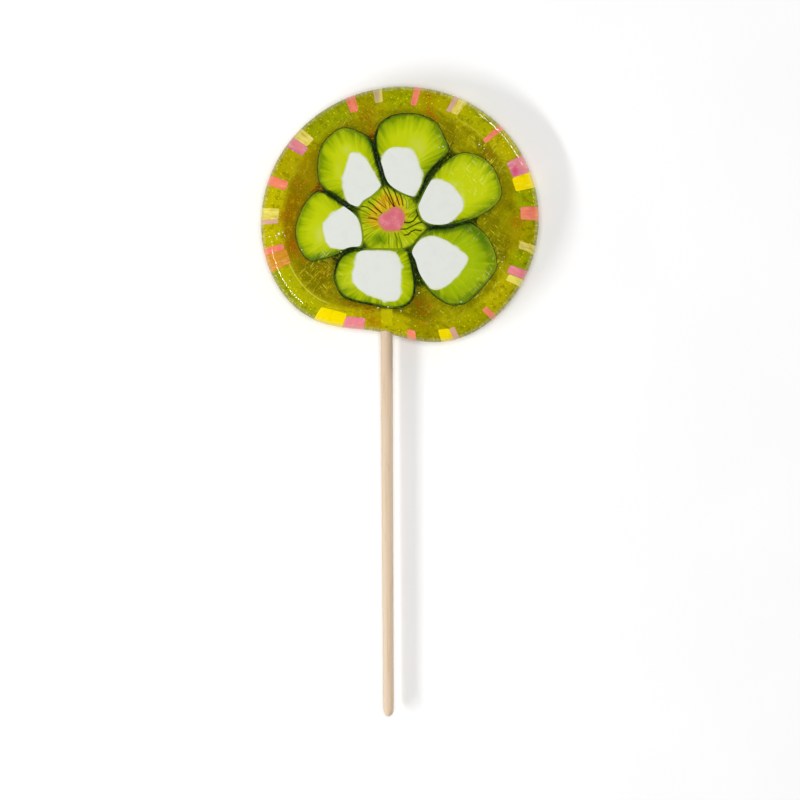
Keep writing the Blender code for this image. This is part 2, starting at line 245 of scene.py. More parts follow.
# Strips in the rim, anticlockwise from the right: where a group starts and how far its inner end leans,
# both in degrees, then each strip's colour, and its width along the edge and its depth in millimetres.
RIM_STRIPS = (
    (-2.7, 0.0, (("salmon", 4.3, 5.6),)),
    (11.3, -0.5, (("yellow", 4.9, 6.1), ("mauve", 5.7, 5.6))),
    (39.3, 0.0, (("salmon", 1.8, 7.1),)),
    (58.7, 1.0, (("cream", 2.7, 5.3), ("mauve", 1.6, 5.4))),
    (79.8, 1.6, (("salmon", 2.2, 5.9),)),
    (98.0, 0.6, (("cream", 2.7, 4.5),)),
    (110.5, 1.2, (("salmon", 3.0, 5.1),)),
    (139.0, 0.0, (("cream", 3.6, 5.3), ("mauve", 3.6, 5.9))),
    (163.0, 1.0, (("salmon", 3.2, 6.1),)),
    (177.5, 0.0, (("cream", 3.6, 5.4), ("mauve", 1.5, 5.4))),
    (194.0, 0.3, (("salmon", 2.2, 6.3), ("orange", 5.5, 6.8))),
    (231.0, -1.2, (("yellow", 8.8, 4.5), ("mauve", 6.4, 3.6))),
    (273.3, 0.3, (("salmon", 2.5, 2.9),)),
    (288.0, 0.0, (("yellow", 3.6, 3.8), ("mauve", 1.9, 3.8))),
    (311.5, -1.2, (("salmon", 1.9, 4.3),)),
    (329.3, -1.5, (("cream", 2.4, 4.8), ("mauve", 2.9, 5.7))),
    (343.0, 0.7, (("cream", 2.6, 5.1),)),
)

# What each kind of strip is clouded with, its dark and light streaks, and its colour where light passes.
STRIP_TONES = {
    "salmon": ("#E27866", "#D06050", "#F4A484", "#FF9070"),
    "yellow": ("#ECD200", "#CCB200", "#F4E440", "#F4DC00"),
    "cream": ("#CCBC38", "#A49C3E", "#ECE29C", "#FFF468"),
    "mauve": ("#D67C96", "#BC6088", "#E8ACA6", "#FA8890"),
    "orange": ("#C8821C", "#A86814", "#E6AA78", "#F0A040"),
}

# Where the strips are painted lighter, in their colour where light passes, as stretches of the rim in degrees
# with a strength.
STRIP_LIGHT = ((228, 336, 1.0), (160, 181, 0.5))

# Soft spots of colour. Each is a middle in millimetres from the head's, a length, a width, the turn of the
# length in degrees, and a strength from 0 to 1.
HAZE = (
    (-9.9, 30.3, 1.5, 1.5, 0, 0.6), (-8.4, 27.0, 1.5, 0.9, -60, 0.6), (-8.7, 24.0, 1.2, 0.8, -70, 0.5),
    (8.1, 34.8, 1.8, 1.2, 80, 0.7), (9.0, 30.6, 1.8, 1.2, -80, 0.8), (9.9, 28.2, 1.2, 0.9, 0, 0.5),
    (26.1, 17.4, 1.5, 0.9, 60, 0.7), (27.6, 14.4, 1.5, 0.9, 60, 0.5), (-30.0, 8.4, 2.4, 1.1, -5, 0.5),
    (-24.6, 7.8, 2.7, 0.9, -5, 0.7), (-35.7, -0.9, 1.8, 1.5, 0, 0.6), (-31.8, -9.9, 2.4, 1.8, 60, 0.8),
    (-29.1, -14.1, 2.1, 1.2, 60, 0.5), (-29.4, 14.4, 3.6, 2.7, 60, 0.12), (-10.2, -29.4, 1.8, 1.2, 20, 0.8),
    (-7.8, -32.4, 2.1, 1.5, 0, 0.6), (6.9, -30.6, 2.1, 2.4, 0, 0.5), (5.7, -26.7, 1.8, 1.5, 0, 0.5),
    (9.0, -27.3, 1.5, 0.9, 30, 0.5), (35.1, -2.4, 1.8, 1.5, 0, 0.6), (34.2, -7.8, 1.8, 2.4, 0, 0.3),
    (-18.9, -25.8, 4.2, 1.5, -30, 0.25), (-23.4, -18.3, 3.6, 2.4, 60, 0.25), (15.6, 22.8, 3.0, 2.7, 0, 0.15),
    (29.4, 7.2, 1.5, 3.6, 0, 0.25),
)
BLUSH = ((34.5, 12.9, 0.9, 1.1, 0, 0.9), (-31.0, 18.0, 1.4, 0.8, -35, 0.3))
SMOKE = ((-7.0, 35.4, 0.9, 2.6, 0, 0.8), (32.4, 19.2, 2.2, 0.8, 40, 0.3), (36.6, -9.6, 1.2, 0.6, 0, 0.4))
GLOW = (
    (-4.6, 3.4, 4.0, 2.2, 42, 0.18), (-0.2, 4.4, 1.4, 2.0, 0, 0.12), (-8.2, -1.6, 2.0, 1.6, 0, 0.15),
    (-5.0, 3.4, 1.6, 1.2, 40, 0.8), (-3.3, 3.9, 1.0, 1.9, 20, 0.8), (-1.3, 3.4, 1.3, 1.3, 0, 0.65),
    (0.3, 2.9, 0.7, 0.9, 0, 0.4), (-6.9, 1.2, 1.6, 1.0, 35, 0.7), (-7.8, -1.7, 1.7, 0.8, 0, 0.7),
    (-7.2, -3.5, 1.2, 0.8, -20, 0.6), (1.9, 0.0, 0.6, 1.0, 0, 0.6), (0.3, -5.6, 1.0, 0.4, 0, 0.3),
)
SHADE = (
    (-6.3, -7.2, 1.2, 1.2, 0, 0.35), (-4.8, -8.4, 1.4, 1.0, -50, 0.35), (-7.5, -8.1, 1.8, 1.2, 0, 0.25),
    (-1.2, -8.1, 0.4, 1.8, 10, 0.4), (3.6, 4.5, 1.5, 1.2, 0, 0.4), (-12.0, -0.6, 1.2, 2.4, 10, 0.35),
    (-10.2, -9.6, 2.4, 1.2, 0, 0.3), (0.6, -9.6, 0.6, 1.5, 0, 0.3), (-3.9, -6.6, 0.6, 1.2, 0, 0.3),
    (-6.6, 5.7, 1.8, 0.9, 30, 0.35), (4.2, 2.1, 0.9, 1.5, 0, 0.3),
)
# Painted highlights: small pale streaks on the middle of the flower.
PALE_HIGHLIGHTS = (
    (2.1, 3.3, 0.4, 1.5, 0, 0.7), (3.3, 0.6, 0.4, 0.9, -20, 0.5), (-2.4, -8.4, 0.4, 1.8, 0, 0.6),
    (-3.9, 6.6, 0.4, 1.5, 30, 0.6), (7.5, -3.9, 1.5, 0.6, 10, 0.4), (1.8, -9.0, 0.9, 1.2, 0, 0.6),
    (-11.4, -6.9, 0.9, 0.6, 30, 0.35), (-2.1, 5.7, 0.4, 1.2, 25, 0.5), (0.9, 5.4, 0.4, 1.5, 20, 0.6),
    (-11.1, 1.5, 1.5, 0.4, 0, 0.5), (-7.8, 3.3, 1.2, 0.3, -40, 0.4),
)
BLOOM = (
    (4.8, 21.0, 1.8, 1.8, 0, 0.4), (6.6, 18.3, 1.1, 1.8, 0, 0.3), (15.6, 8.7, 1.8, 0.9, 20, 0.45),
    (18.3, 5.1, 0.9, 1.8, 10, 0.6), (-24.0, -6.3, 1.2, 2.1, 0, 0.6), (-15.9, 19.2, 1.2, 1.2, 0, 0.45),
    (-14.4, -20.7, 0.9, 1.2, 0, 0.35), (9.0, -14.4, 0.9, 1.5, 0, 0.2), (-18.3, 13.2, 0.9, 2.4, 0, 0.3),
    (-13.2, -14.4, 1.2, 0.9, 0, 0.3), (18.3, -14.4, 1.2, 1.8, 30, 0.25),
)
DEEP = (
    (21.0, -4.5, 3.3, 1.5, -25, 0.65), (12.3, -4.5, 3.3, 0.9, 0, 0.8), (25.2, -8.7, 1.5, 2.1, 20, 0.6),
    (23.4, 0.0, 2.7, 0.9, 30, 0.6), (-4.8, 25.8, 1.2, 3.0, -10, 0.35), (-24.0, -12.9, 3.9, 0.9, 15, 0.75),
    (-9.6, 22.4, 1.1, 2.9, 30, 0.7), (4.5, -9.3, 1.5, 1.2, 60, 0.8), (-12.0, -11.4, 4.2, 0.8, 15, 0.5),
    (15.0, -25.2, 3.6, 0.9, 10, 0.3), (5.4, -19.8, 0.9, 3.6, 10, 0.4), (-17.7, 1.2, 0.9, 0.9, 0, 0.2),
)

# How many millimetres less than usual the dark edge of each petal reaches in, how green its flesh is, and
# how thin the line round it is, from 0 to 1.
PETAL_TONES = (
    (0.0, 0.0, 0.5), (-0.3, 0.1, 0.3), (1.0, 0.0, 0.7), (-0.9, 0.5, 0.5), (0.2, 0.1, 0.15), (0.9, 0.05, 0.5),
)

# Where the dark skin of the petals is thin and lets green through.
FAINT = (
    (-24.5, 14.0, 2.0, 6.0, 0, 0.4), (28.5, 12.0, 2.5, 6.0, 0, 0.8), (22.0, 17.5, 5.0, 2.5, -20, 0.7),
    (26.5, -6.0, 3.0, 4.0, 0, 0.6), (29.0, -13.0, 2.0, 6.0, 0, 0.6), (12.0, 25.0, 3.0, 4.0, 0, 0.5),
    (-31.0, -5.0, 2.0, 6.0, 0, 0.6), (-18.0, 25.5, 4.0, 2.0, 0, 0.6), (4.7, 29.8, 3.0, 1.5, 0, 0.5),
    (-28.0, 3.5, 3.0, 2.5, 0, 0.3), (-4.0, -10.4, 4.5, 0.9, 0, 1.6), (-11.0, -6.2, 0.9, 3.2, 0, 1.4),
    (-8.8, 4.6, 3.2, 0.9, 38, 1.3), (2.2, 5.0, 2.0, 0.9, -5, 1.0), (5.1, 2.6, 0.8, 1.2, 0, 0.8),
    (-4.0, -28.1, 1.2, 1.2, 0, 1.0), (-18.9, -21.0, 1.5, 2.5, 0, 0.5),
)

# Where dark green specks gather next to the petals, and where fine scratches do.
GLOOM = (
    (28.8, 13.2, 2.0, 3.0, 35, 0.8), (15.5, 20.6, 2.4, 1.2, 40, 0.9), (-13.0, 25.6, 3.0, 0.9, -30, 0.6),
    (-25.6, 13.5, 0.8, 4.0, 0, 0.5), (26.5, 1.0, 2.5, 1.2, 40, 0.6), (27.2, -7.6, 1.2, 2.4, 25, 0.6),
    (5.4, -25.4, 1.0, 2.5, 0, 0.7), (-9.0, -28.4, 5.0, 0.7, -8, 0.7), (-26.0, 6.9, 2.0, 1.0, 30, 0.7),
    (-22.4, -14.4, 2.0, 0.8, -10, 0.7), (-1.0, 30.6, 4.0, 0.6, 5, 0.5), (22.0, -26.2, 2.4, 0.8, 45, 0.5),
)
WORN = (
    (17.4, 23.5, 4.5, 3.5, 0, 0.9), (22.1, 9.8, 5.0, 4.0, 0, 0.9), (27.6, 17.5, 3.5, 3.5, 0, 0.9),
    (-23.4, -19.4, 4.5, 4.5, 0, 1.0), (-22.1, -13.8, 2.5, 1.5, 0, 0.8), (27.6, -4.8, 3.5, 3.5, 0, 1.0),
    (28.4, -12.5, 1.2, 1.8, 0, 1.0), (28.1, -19.4, 4.0, 3.0, 0, 1.0), (24.2, -24.5, 3.0, 2.5, 0, 0.8),
    (13.5, -29.7, 4.0, 2.0, 0, 0.7), (-17.8, 29.1, 5.0, 3.0, 0, 0.5), (19.9, -5.7, 2.5, 1.5, 0, 0.7),
    (-30.0, 12.0, 3.0, 3.0, 0, 0.4), (-8.0, 31.0, 3.0, 3.0, 0, 0.4), (33.0, -30.0, 3.0, 3.0, 0, 0.4),
)

# Grains of sugar on the face, painted near-white as the glints they catch, in millimetres from the middle
# of the head, with the radius of each.
GRAINS = (
    (5.7, -23.7, 0.26), (18.3, -26.4, 0.24), (-6.6, -28.2, 0.26), (-3.6, -27.9, 0.24), (0.3, -29.1, 0.22),
    (-36.3, -6.0, 0.4), (-35.1, -5.6, 0.22), (-34.5, -6.6, 0.2), (-37.2, -6.6, 0.24), (-36.9, -7.2, 0.18),
    (-38.4, -8.4, 0.2), (-39.2, -6.9, 0.22), (-29.4, -10.8, 0.24), (-17.7, -11.4, 0.22), (-0.6, 15.9, 0.2),
    (-1.8, 13.5, 0.2), (12.9, 20.1, 0.26), (11.7, 19.8, 0.18), (23.7, 20.7, 0.26), (25.2, 19.5, 0.2),
    (27.9, 4.6, 0.16), (30.6, -14.4, 0.22), (30.0, -16.2, 0.2), (31.2, -12.9, 0.18), (29.4, -11.7, 0.18),
    (-33.0, -20.1, 0.2), (24.9, -33.0, 0.16), (34.8, -25.5, 0.2), (35.4, -26.1, 0.16), (37.8, -20.4, 0.18),
)
# Finer grains lie loose near the rim, with radii between two values and spread this far in, in millimetres.
# No grain is higher than this, and each is this much narrower than long.
GRAIN_SEED = 7
LOOSE_GRAINS = 220
LOOSE_RADII = (0.06, 0.13)
LOOSE_SPREAD = 3.0
GRAIN_HEIGHT = 0.09
GRAIN_WIDTH = 0.7

# How much lighter the rim is painted between two angles in degrees, from 0 to 1, as light passing through
# the thin sugar, and then how green it is.
RIM_LIGHT = (
    (-2, 3, 0.15), (3, 11, 0.5), (11, 26, 0.3), (26, 39, 0.75), (39, 61, 0.95), (61, 82, 0.45),
    (82, 100, 0.4), (100, 112, 0.12), (112, 141, 0.2), (141, 165, 0.6), (165, 181, 1.0), (181, 196, 0.95),
    (196, 204, 0.6), (204, 250, 1.0), (250, 275, 0.75), (275, 290, 0.25), (290, 313, 0.28), (313, 331, 0.85),
    (331, 344, 0.45), (344, 358, 0.13),
)
RIM_GREEN = (
    (3, 11, 0.9), (42, 59, 0.5), (83, 98, 0.7), (114, 140, 0.9), (204, 231, 0.55), (296, 312, 0.3),
    (335, 344, 0.9),
)
# How amber the sugar between the rim and the flower is, and how dark.
BODY_AMBER = ((106, 140, 0.3), (140, 168, 0.5), (168, 201, 1.0), (240, 262, 1.0), (2, 12, 0.15))
BODY_SHADE = ((-2, 22, 0.5), (150, 200, 0.15), (203, 234, 0.55), (240, 288, 1.0))
# Where the face ends, a thin bright line is painted as a highlight, this strong on these stretches of the
# rim.
RIM_HIGHLIGHT = ((202, 231, 1.0), (40, 58, 0.45))

# Creases in the middle of the flower, cut in shallowly and painted dark as shade: half width, strength,
# then the points that each runs through, in millimetres from the middle of the head.
CREASES = (
    (0.2, 0.9, ((-4.9, 7.4), (-3.8, 5.5), (-2.8, 3.6), (-1.5, 1.6))),
    (0.2, 0.95, ((-3.8, 7.8), (-2.8, 5.3), (-1.9, 2.9), (-1.2, 1.1))),
    (0.2, 0.95, ((-2.1, 7.5), (-1.4, 6.1), (-0.8, 4.4), (-0.2, 2.6))),
    (0.2, 0.9, ((-0.2, 6.3), (0.5, 4.7), (0.9, 2.5))),
    (0.17, 0.55, ((-4.9, 5.3), (-3.9, 4.0), (-2.8, 2.7))),
    (0.17, 0.5, ((-6.4, 4.5), (-5.1, 3.2), (-4.1, 2.2))),
    (0.19, 0.75, ((-8.7, 4.9), (-7.3, 4.0), (-5.8, 2.9), (-4.2, 1.6))),
    (0.2, 1.0, ((-9.5, 3.6), (-8.1, 2.7), (-6.9, 1.4), (-5.5, 0.2))),
    (0.2, 0.85, ((-12.2, 2.3), (-9.8, 2.0), (-8.4, 1.0), (-7.0, -0.1))),
    (0.18, 0.6, ((-12.6, 1.4), (-10.5, 0.5), (-8.9, -0.3))),
    (0.2, 0.85, ((-9.4, -1.2), (-8.1, -1.5), (-6.8, -1.9))),
    (0.17, 0.35, ((-11.1, -2.1), (-9.1, -2.2))),
    (0.22, 1.0, ((1.2, -2.0), (1.4, -2.7), (2.8, -2.7), (4.1, -2.1), (4.7, -1.2), (5.6, -0.2))),
    (0.18, 1.0, ((0.2, -4.6), (1.9, -4.6), (3.6, -3.7), (5.8, -2.7), (7.2, -2.4))),
    (0.2, 1.0, ((1.3, -6.4), (2.4, -6.3), (3.4, -5.3), (4.7, -4.8), (6.4, -5.1))),
    (0.36, 1.0, ((5.1, 1.0), (5.4, 0.1), (5.9, -0.6))),
    (0.18, 0.6, ((2.4, -1.0), (3.6, 0.1), (4.8, 1.0))),
    (0.18, 0.5, ((3.6, -1.0), (5.0, 0.7))),
    (0.18, 0.6, ((1.1, 5.2), (2.0, 3.8), (2.0, 1.6))),
    (0.17, 0.45, ((2.2, 4.8), (2.8, 3.3), (2.6, 1.6))),
    (0.18, 0.55, ((3.6, 5.1), (4.1, 3.5))),
    (0.18, 0.45, ((-6.4, -6.5), (-5.8, -8.0), (-4.4, -9.1))),
    (0.17, 0.35, ((-7.1, -6.9), (-6.4, -9.1))),
    (0.19, 0.6, ((-1.6, -5.7), (-0.9, -7.6), (-0.9, -10.7))),
    (0.19, 0.6, ((-0.6, -5.8), (0.2, -8.0), (0.7, -10.5))),
    (0.17, 0.4, ((-3.2, -6.0), (-3.4, -9.1))),
    (0.18, 0.4, ((-11.6, -2.7), (-9.6, -3.5))),
    (0.17, 0.35, ((-10.9, -6.9), (-9.9, -6.3))),
    (0.17, 0.5, ((-2.4, 4.8), (-1.5, 3.1), (-0.9, 1.6))),
    (0.17, 0.45, ((-10.9, -0.5), (-9.0, -0.8), (-7.1, -1.4))),
)


def linear(hex_colour):
    """An sRGB colour such as #8F9600 as three linear values."""
    channels = [int(hex_colour[place:place + 2], 16) / 255 for place in (1, 3, 5)]
    return [value / 12.92 if value <= 0.04045 else ((value + 0.055) / 1.055) ** 2.4 for value in channels]


def colour_property(name, hex_colour, description):
    """A colour that a user may change, with its default as hex."""
    return FloatVectorProperty(
        name=name, description=description, default=linear(hex_colour), subtype="COLOR", size=3,
        min=0.0, max=1.0)


def length_property(name, millimetres, least, description):
    """A length that a user may change, with its default and its least value in millimetres."""
    return FloatProperty(
        name=name, description=description, default=millimetres * MM, min=least * MM, unit="LENGTH")


class LollipopSizes(bpy.types.PropertyGroup):
    """Sizes of the lollipop, which start as the solids have them."""

    thickness: length_property("Thickness", 9.0, 4.0, "Height of the slice of sugar")
    mean_radius: length_property(
        "Mean Radius", 41.18, 36.0, "Half of the slice's width, without its sag and dent")
    rim_reach: length_property(
        "Rim Reach", 6.0, 1.0, "How far the rounding of the rim reaches in over the face")
    stick_length: length_property(
        "Stick Length", 145.0, 60.0, "Length of the stick, with the end that is inside the sugar")
    stick_head_radius: length_property(
        "Stick Radius at the Head", 1.85, 1.0, "Half of the stick's thickness inside the sugar")
    stick_foot_radius: length_property(
        "Stick Radius at the Foot", 1.6, 1.0, "Half of the stick's thickness at its free end")


class LollipopColours(bpy.types.PropertyGroup):
    """Colours of the sugars and of the wood."""

    green: colour_property("Green Sugar", "#8E8A00", "The glassy sugar of the slice")
    rim: colour_property("Rim Sugar", "#BAB004", "The same sugar where the thin rim lets light through")
    skin: colour_property("Petal Skin", "#16280A", "The dark line round each petal")
    flesh: colour_property("Petal Flesh", "#BECA04", "The lime sugar of the petals")
    core: colour_property("Petal Core", "#DDE0D8", "The white sugar in each petal")
    centre: colour_property("Flower Centre", "#9DAC02", "The creased sugar round the heart")
    heart: colour_property("Heart", "#D4727A", "The pink middle of the flower")
    salmon: colour_property("Salmon Strips", "#EB8460", "The salmon strips in the rim")
    yellow: colour_property("Yellow Strips", "#F2D800", "The bright yellow strips in the rim")
    cream: colour_property("Cream Strips", "#E0CE5C", "The pale yellow strips in the rim")
    mauve: colour_property("Mauve Strips", "#DC8488", "The mauve strips in the rim")
    orange: colour_property("Orange Strip", "#D0902C", "The one clear orange strip in the rim")
    birch: colour_property("Birch", "#D6BEA2", "The wood of the stick")


def head_radius(sizes, angle):
    """Distance from the middle of the head to its edge in one direction, or in each of an array of them."""
    angle = np.mod(angle, math.tau)
    oval = OVAL * np.cos(2 * (angle - OVAL_ANGLE))
    dent = DENT_DEPTH * np.exp(-0.5 * ((angle - DENT_ANGLE) / DENT_SPREAD) ** 2)
    return sizes.mean_radius - SAG * np.sin(angle) + oval - dent


def head_point(sizes, angle, inset=0.0):
    """A point this far inside the head's edge, seen from above."""
    radius = float(head_radius(sizes, angle)) - inset
    return Vector((radius * math.cos(angle), radius * math.sin(angle)))


def head_middle():
    """Where the middle of the head stands when the origin is under the middle of the whole lollipop."""
    low, high = (Vector(corner) for corner in CAD_BOX)
    return Vector((HEAD_ACROSS, low.y - STICK_FOOT.y, 0.0))


def smooth_loop(control_points, steps=OUTLINE_STEPS):
    """A closed Catmull-Rom curve through points given in millimetres."""
    points = [Vector(point) * MM for point in control_points]
    loop = []
    for index, start in enumerate(points):
        before = points[index - 1]
        end = points[(index + 1) % len(points)]
        after = points[(index + 2) % len(points)]
        for step in range(steps):
            t = step / steps
            bend = 2 * before - 5 * start + 4 * end - after
            twist = 3 * start - before - 3 * end + after
            loop.append(0.5 * (2 * start + (end - before) * t + bend * t ** 2 + twist * t ** 3))
    return loop


def distances(points, line, closed=True):
    """Shortest distance from each row of an array of points to a line of points."""
    starts = np.array(line, float)
    ends = np.roll(starts, -1, axis=0)
    if not closed:
        starts, ends = starts[:-1], ends[:-1]
    nearest = np.full(len(points), np.inf)
    for start, end in zip(starts, ends):
        along = end - start
        share = np.clip((points - start) @ along / (along @ along), 0.0, 1.0)
        gap = points - start - share[:, None] * along
        nearest = np.minimum(nearest, np.hypot(gap[:, 0], gap[:, 1]))
    return nearest


def grown(loop, distance):
    """A clockwise loop moved outwards, or inwards by a negative distance, without folds at tight bends."""
    moved = []
    for before, here, after in zip(loop[-1:] + loop[:-1], loop, loop[1:] + loop[:1]):
        side_in = (here - before).normalized().orthogonal()
        side_out = (after - here).normalized().orthogonal()
        outwards = (side_in + side_out).normalized()
        moved.append(here + outwards * distance / max(outwards.dot(side_in), SHARPEST))
    clear = distances(np.array(moved), loop) > NEARLY * abs(distance)
    return [point for point, keep in zip(moved, clear) if keep]


def spots(points, table):
    """How strongly a table of soft spots reaches each point, from 0 to 1."""
    total = np.zeros(len(points))
    for x, y, length, width, turn, strength in table:
        away = points / MM - np.array((x, y))
        cosine, sine = math.cos(math.radians(turn)), math.sin(math.radians(turn))
        along = (away[:, 0] * cosine + away[:, 1] * sine) / length
        across = (away[:, 1] * cosine - away[:, 0] * sine) / width
        total += strength * np.exp(-0.5 * (along ** 2 + across ** 2))
    return np.minimum(total, 1.0)


def around_rim(angle, table, soft=1.0):
    """How strong a table of stretches of the rim is in each direction, with ends this many degrees soft."""
    degrees = np.degrees(angle) % 360
    strongest = np.zeros(len(degrees))
    for start, end, strength in table:
        for turn in (-360, 0):
            rise = np.clip((degrees + turn - start + soft) / (2 * soft), 0.0, 1.0)
            fall = np.clip((end + soft - degrees - turn) / (2 * soft), 0.0, 1.0)
            strongest = np.maximum(strongest, strength * rise * fall)
    return strongest


def creased(points):
    """How deep in a crease of the flower's middle each point lies, from 0 to 1."""
    deepest = np.zeros(len(points))
    for half_width, strength, line in CREASES:
        away = distances(points / MM, line, closed=False) / half_width
        deepest = np.maximum(deepest, strength * np.exp(-away ** 2))
    return deepest


def spokes(points, middle, radius):
    """Places in millimetres on a ring of this radius round a middle, with the distance from it as height."""
    away = (points - np.array(middle)) / MM
    length = np.hypot(away[:, 0], away[:, 1])
    ring = away / np.maximum(length, 1e-6)[:, None] * radius
    return np.column_stack((ring, length))


def object_from(name, mesh):
    """A new object in the scene from a bmesh, which is freed."""
    bmesh.ops.recalc_face_normals(mesh, faces=mesh.faces)
    data = bpy.data.meshes.new(name)
    mesh.to_mesh(data)
    mesh.free()
    made = bpy.data.objects.new(name, data)
    bpy.context.scene.collection.objects.link(made)
    return made


def vertices_of(result):
    """The vertices among what a mesh operation made."""
    return [item for item in result["geom"] if isinstance(item, bmesh.types.BMVert)]


def prism(name, loop, top, bottom=0.0):
    """A solid with upright walls over a closed loop."""
    mesh = bmesh.new()
    base = mesh.faces.new([mesh.verts.new((point[0], point[1], bottom)) for point in loop])
    raised = vertices_of(bmesh.ops.extrude_face_region(mesh, geom=[base]))
    bmesh.ops.translate(mesh, vec=(0.0, 0.0, top - bottom), verts=raised)
    return object_from(name, mesh)


def cutting_prism(loop):
    """A prism that passes right through the slice, above and below."""
    return prism("cutter", loop, CUTTER_TOP, CUTTER_BOTTOM)


def slice_solid(sizes, name):
    """The whole slice, ring by ring from its flat underside over the rounded rim to its flat top."""
    mesh = bmesh.new()
    angles = [math.tau * side / RIM_SIDES for side in range(RIM_SIDES)]
    base = [mesh.verts.new((*head_point(sizes, angle, sizes.rim_reach), 0.0)) for angle in angles]
    cap = mesh.faces.new(base)
    for step in range(1, RIM_STEPS + 1):
        turn = math.pi * (step / RIM_STEPS - 0.5)
        inset = sizes.rim_reach * (1 - math.cos(turn))
        height = sizes.thickness / 2 * (1 + math.sin(turn))
        result = bmesh.ops.extrude_face_region(mesh, geom=[cap])
        if step > 1:
            bmesh.ops.delete(mesh, geom=[cap], context="FACES_ONLY")
        cap = next(item for item in result["geom"] if isinstance(item, bmesh.types.BMFace))
        for vertex in vertices_of(result):
            angle = math.atan2(vertex.co.y, vertex.co.x)
            vertex.co = (*head_point(sizes, angle, inset), height)
    return object_from(name, mesh)


def stick_solid(sizes, name, room=0.0, rings=1):
    """The stick, or with some room all round it the bore that it needs in the sugar."""
    top = sizes.stick_length + room
    profile = [(0.0, top)]
    for ring in range(rings):
        share = ring / rings
        radius = sizes.stick_head_radius * (1 - share) + sizes.stick_foot_radius * share
        profile.append((radius + room, top + (STICK_FOOT_REACH - top) * share))
    for step in range(STICK_FOOT_STEPS + 1):
        turn = math.pi / 2 * step / STICK_FOOT_STEPS
        radius = (sizes.stick_foot_radius + room) * math.cos(turn)
        profile.append((radius, STICK_FOOT_REACH * (1 - math.sin(turn))))
    mesh = bmesh.new()
    points = [mesh.verts.new((radius, along, 0.0)) for radius, along in profile]
    edges = [mesh.edges.new(pair) for pair in zip(points, points[1:])]
    bmesh.ops.spin(mesh, geom=points + edges, cent=(0, 0, 0), axis=(0, 1, 0), angle=math.tau,
                   steps=STICK_SIDES, use_merge=True)
    bmesh.ops.remove_doubles(mesh, verts=mesh.verts, dist=DOUBLES)
    place = Matrix.Translation(STICK_FOOT) @ Matrix.Rotation(STICK_LEAN, 4, "Z")
    bmesh.ops.transform(mesh, matrix=place, verts=mesh.verts)
    return object_from(name, mesh)


def combine(piece, tool, operation):
    """Apply one Boolean to a piece and throw its tool away."""
    modifier = piece.modifiers.new("shape", "BOOLEAN")
    modifier.operation = operation
    modifier.solver = "EXACT"
    modifier.object = tool
    result = bpy.data.meshes.new_from_object(piece.evaluated_get(bpy.context.evaluated_depsgraph_get()))
    piece.modifiers.clear()
    piece.data = result
    bpy.data.objects.remove(tool)


def keep_largest_part(mesh):
    """Drop the scraps that a cut leaves loose."""
    bmesh.ops.remove_doubles(mesh, verts=mesh.verts, dist=DOUBLES)
    unseen = set(mesh.verts)
    parts = []
    while unseen:
        part = {unseen.pop()}
        edge_of_part = list(part)
        while edge_of_part:
            vertex = edge_of_part.pop()
            fresh = {edge.other_vert(vertex) for edge in vertex.link_edges} - part
            part |= fresh
            edge_of_part.extend(fresh)
        unseen -= part
        parts.append(part)
    largest = max(parts, key=len)
    bmesh.ops.delete(mesh, geom=[vertex for vertex in mesh.verts if vertex not in largest], context="VERTS")


def cut_into_cells(mesh, cell):
    """Cut a mesh along a square grid seen from above, so that colours can follow its faces closely."""
    bmesh.ops.triangulate(mesh, faces=mesh.faces)
    for axis, across in enumerate((Vector((1, 0, 0)), Vector((0, 1, 0)))):
        places = [vertex.co[axis] for vertex in mesh.verts]
        first = math.floor(min(places) / cell) + 1
        last = math.ceil(max(places) / cell)
        for line in range(first, last):
            everything = mesh.verts[:] + mesh.edges[:] + mesh.faces[:]
            bmesh.ops.bisect_plane(
                mesh, geom=everything, dist=DOUBLES / 2, plane_co=across * line * cell, plane_no=across)


def finish_piece(sizes, piece, cell, attributes, material, nodes, groove=None):
    """Cut a piece into cells, write its attributes, put it in its place, and hide the solids that it stands
    for.
    """
    mesh = bmesh.new()
    mesh.from_mesh(piece.data)
    keep_largest_part(mesh)
    if cell:
        cut_into_cells(mesh, cell)
    plan = np.array([vertex.co.xy for vertex in mesh.verts])
    if groove is not None:
        for vertex, depth in zip(mesh.verts, groove(plan)):
            if vertex.co.z > sizes.thickness / 2:
                vertex.co.z -= depth
    bmesh.ops.translate(mesh, vec=head_middle(), verts=mesh.verts)
    mesh.to_mesh(piece.data)
    mesh.free()
    for name, values in attributes(plan).items():
        kind, field = ("FLOAT", "value") if values.ndim == 1 else ("FLOAT_VECTOR", "vector")
        attribute = piece.data.attributes.new(name, kind, "POINT")
        attribute.data.foreach_set(field, values.astype(np.float32).ravel())
    piece.data.shade_smooth()
    piece.data.set_sharp_from_angle(angle=SHARP_ANGLE)
    piece.data.materials.clear()
    piece.data.materials.append(material)
    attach(piece, "root")
    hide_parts(*nodes)
    return piece


def add(tree, kind, inputs=None, **settings):
    """One node with its settings; each input is given a value or the output that feeds it."""
    node = tree.nodes.new(kind)
    for name, value in settings.items():
        setattr(node, name, value)
    for key, value in (inputs or {}).items():
        if isinstance(value, bpy.types.NodeSocket):
            tree.links.new(value, node.inputs[key])
        else:
            node.inputs[key].default_value = value
    return node


def new_material(name):
    """An empty node tree with only its output, and the material it belongs to."""
    made = bpy.data.materials.get(name) or bpy.data.materials.new(name)
    made.use_nodes = True
    made.node_tree.nodes.clear()
    return made, made.node_tree


def rgba(colour):
    """A colour given as hex or as three linear values, with full opacity."""
    return (*(linear(colour) if isinstance(colour, str) else colour), 1.0)


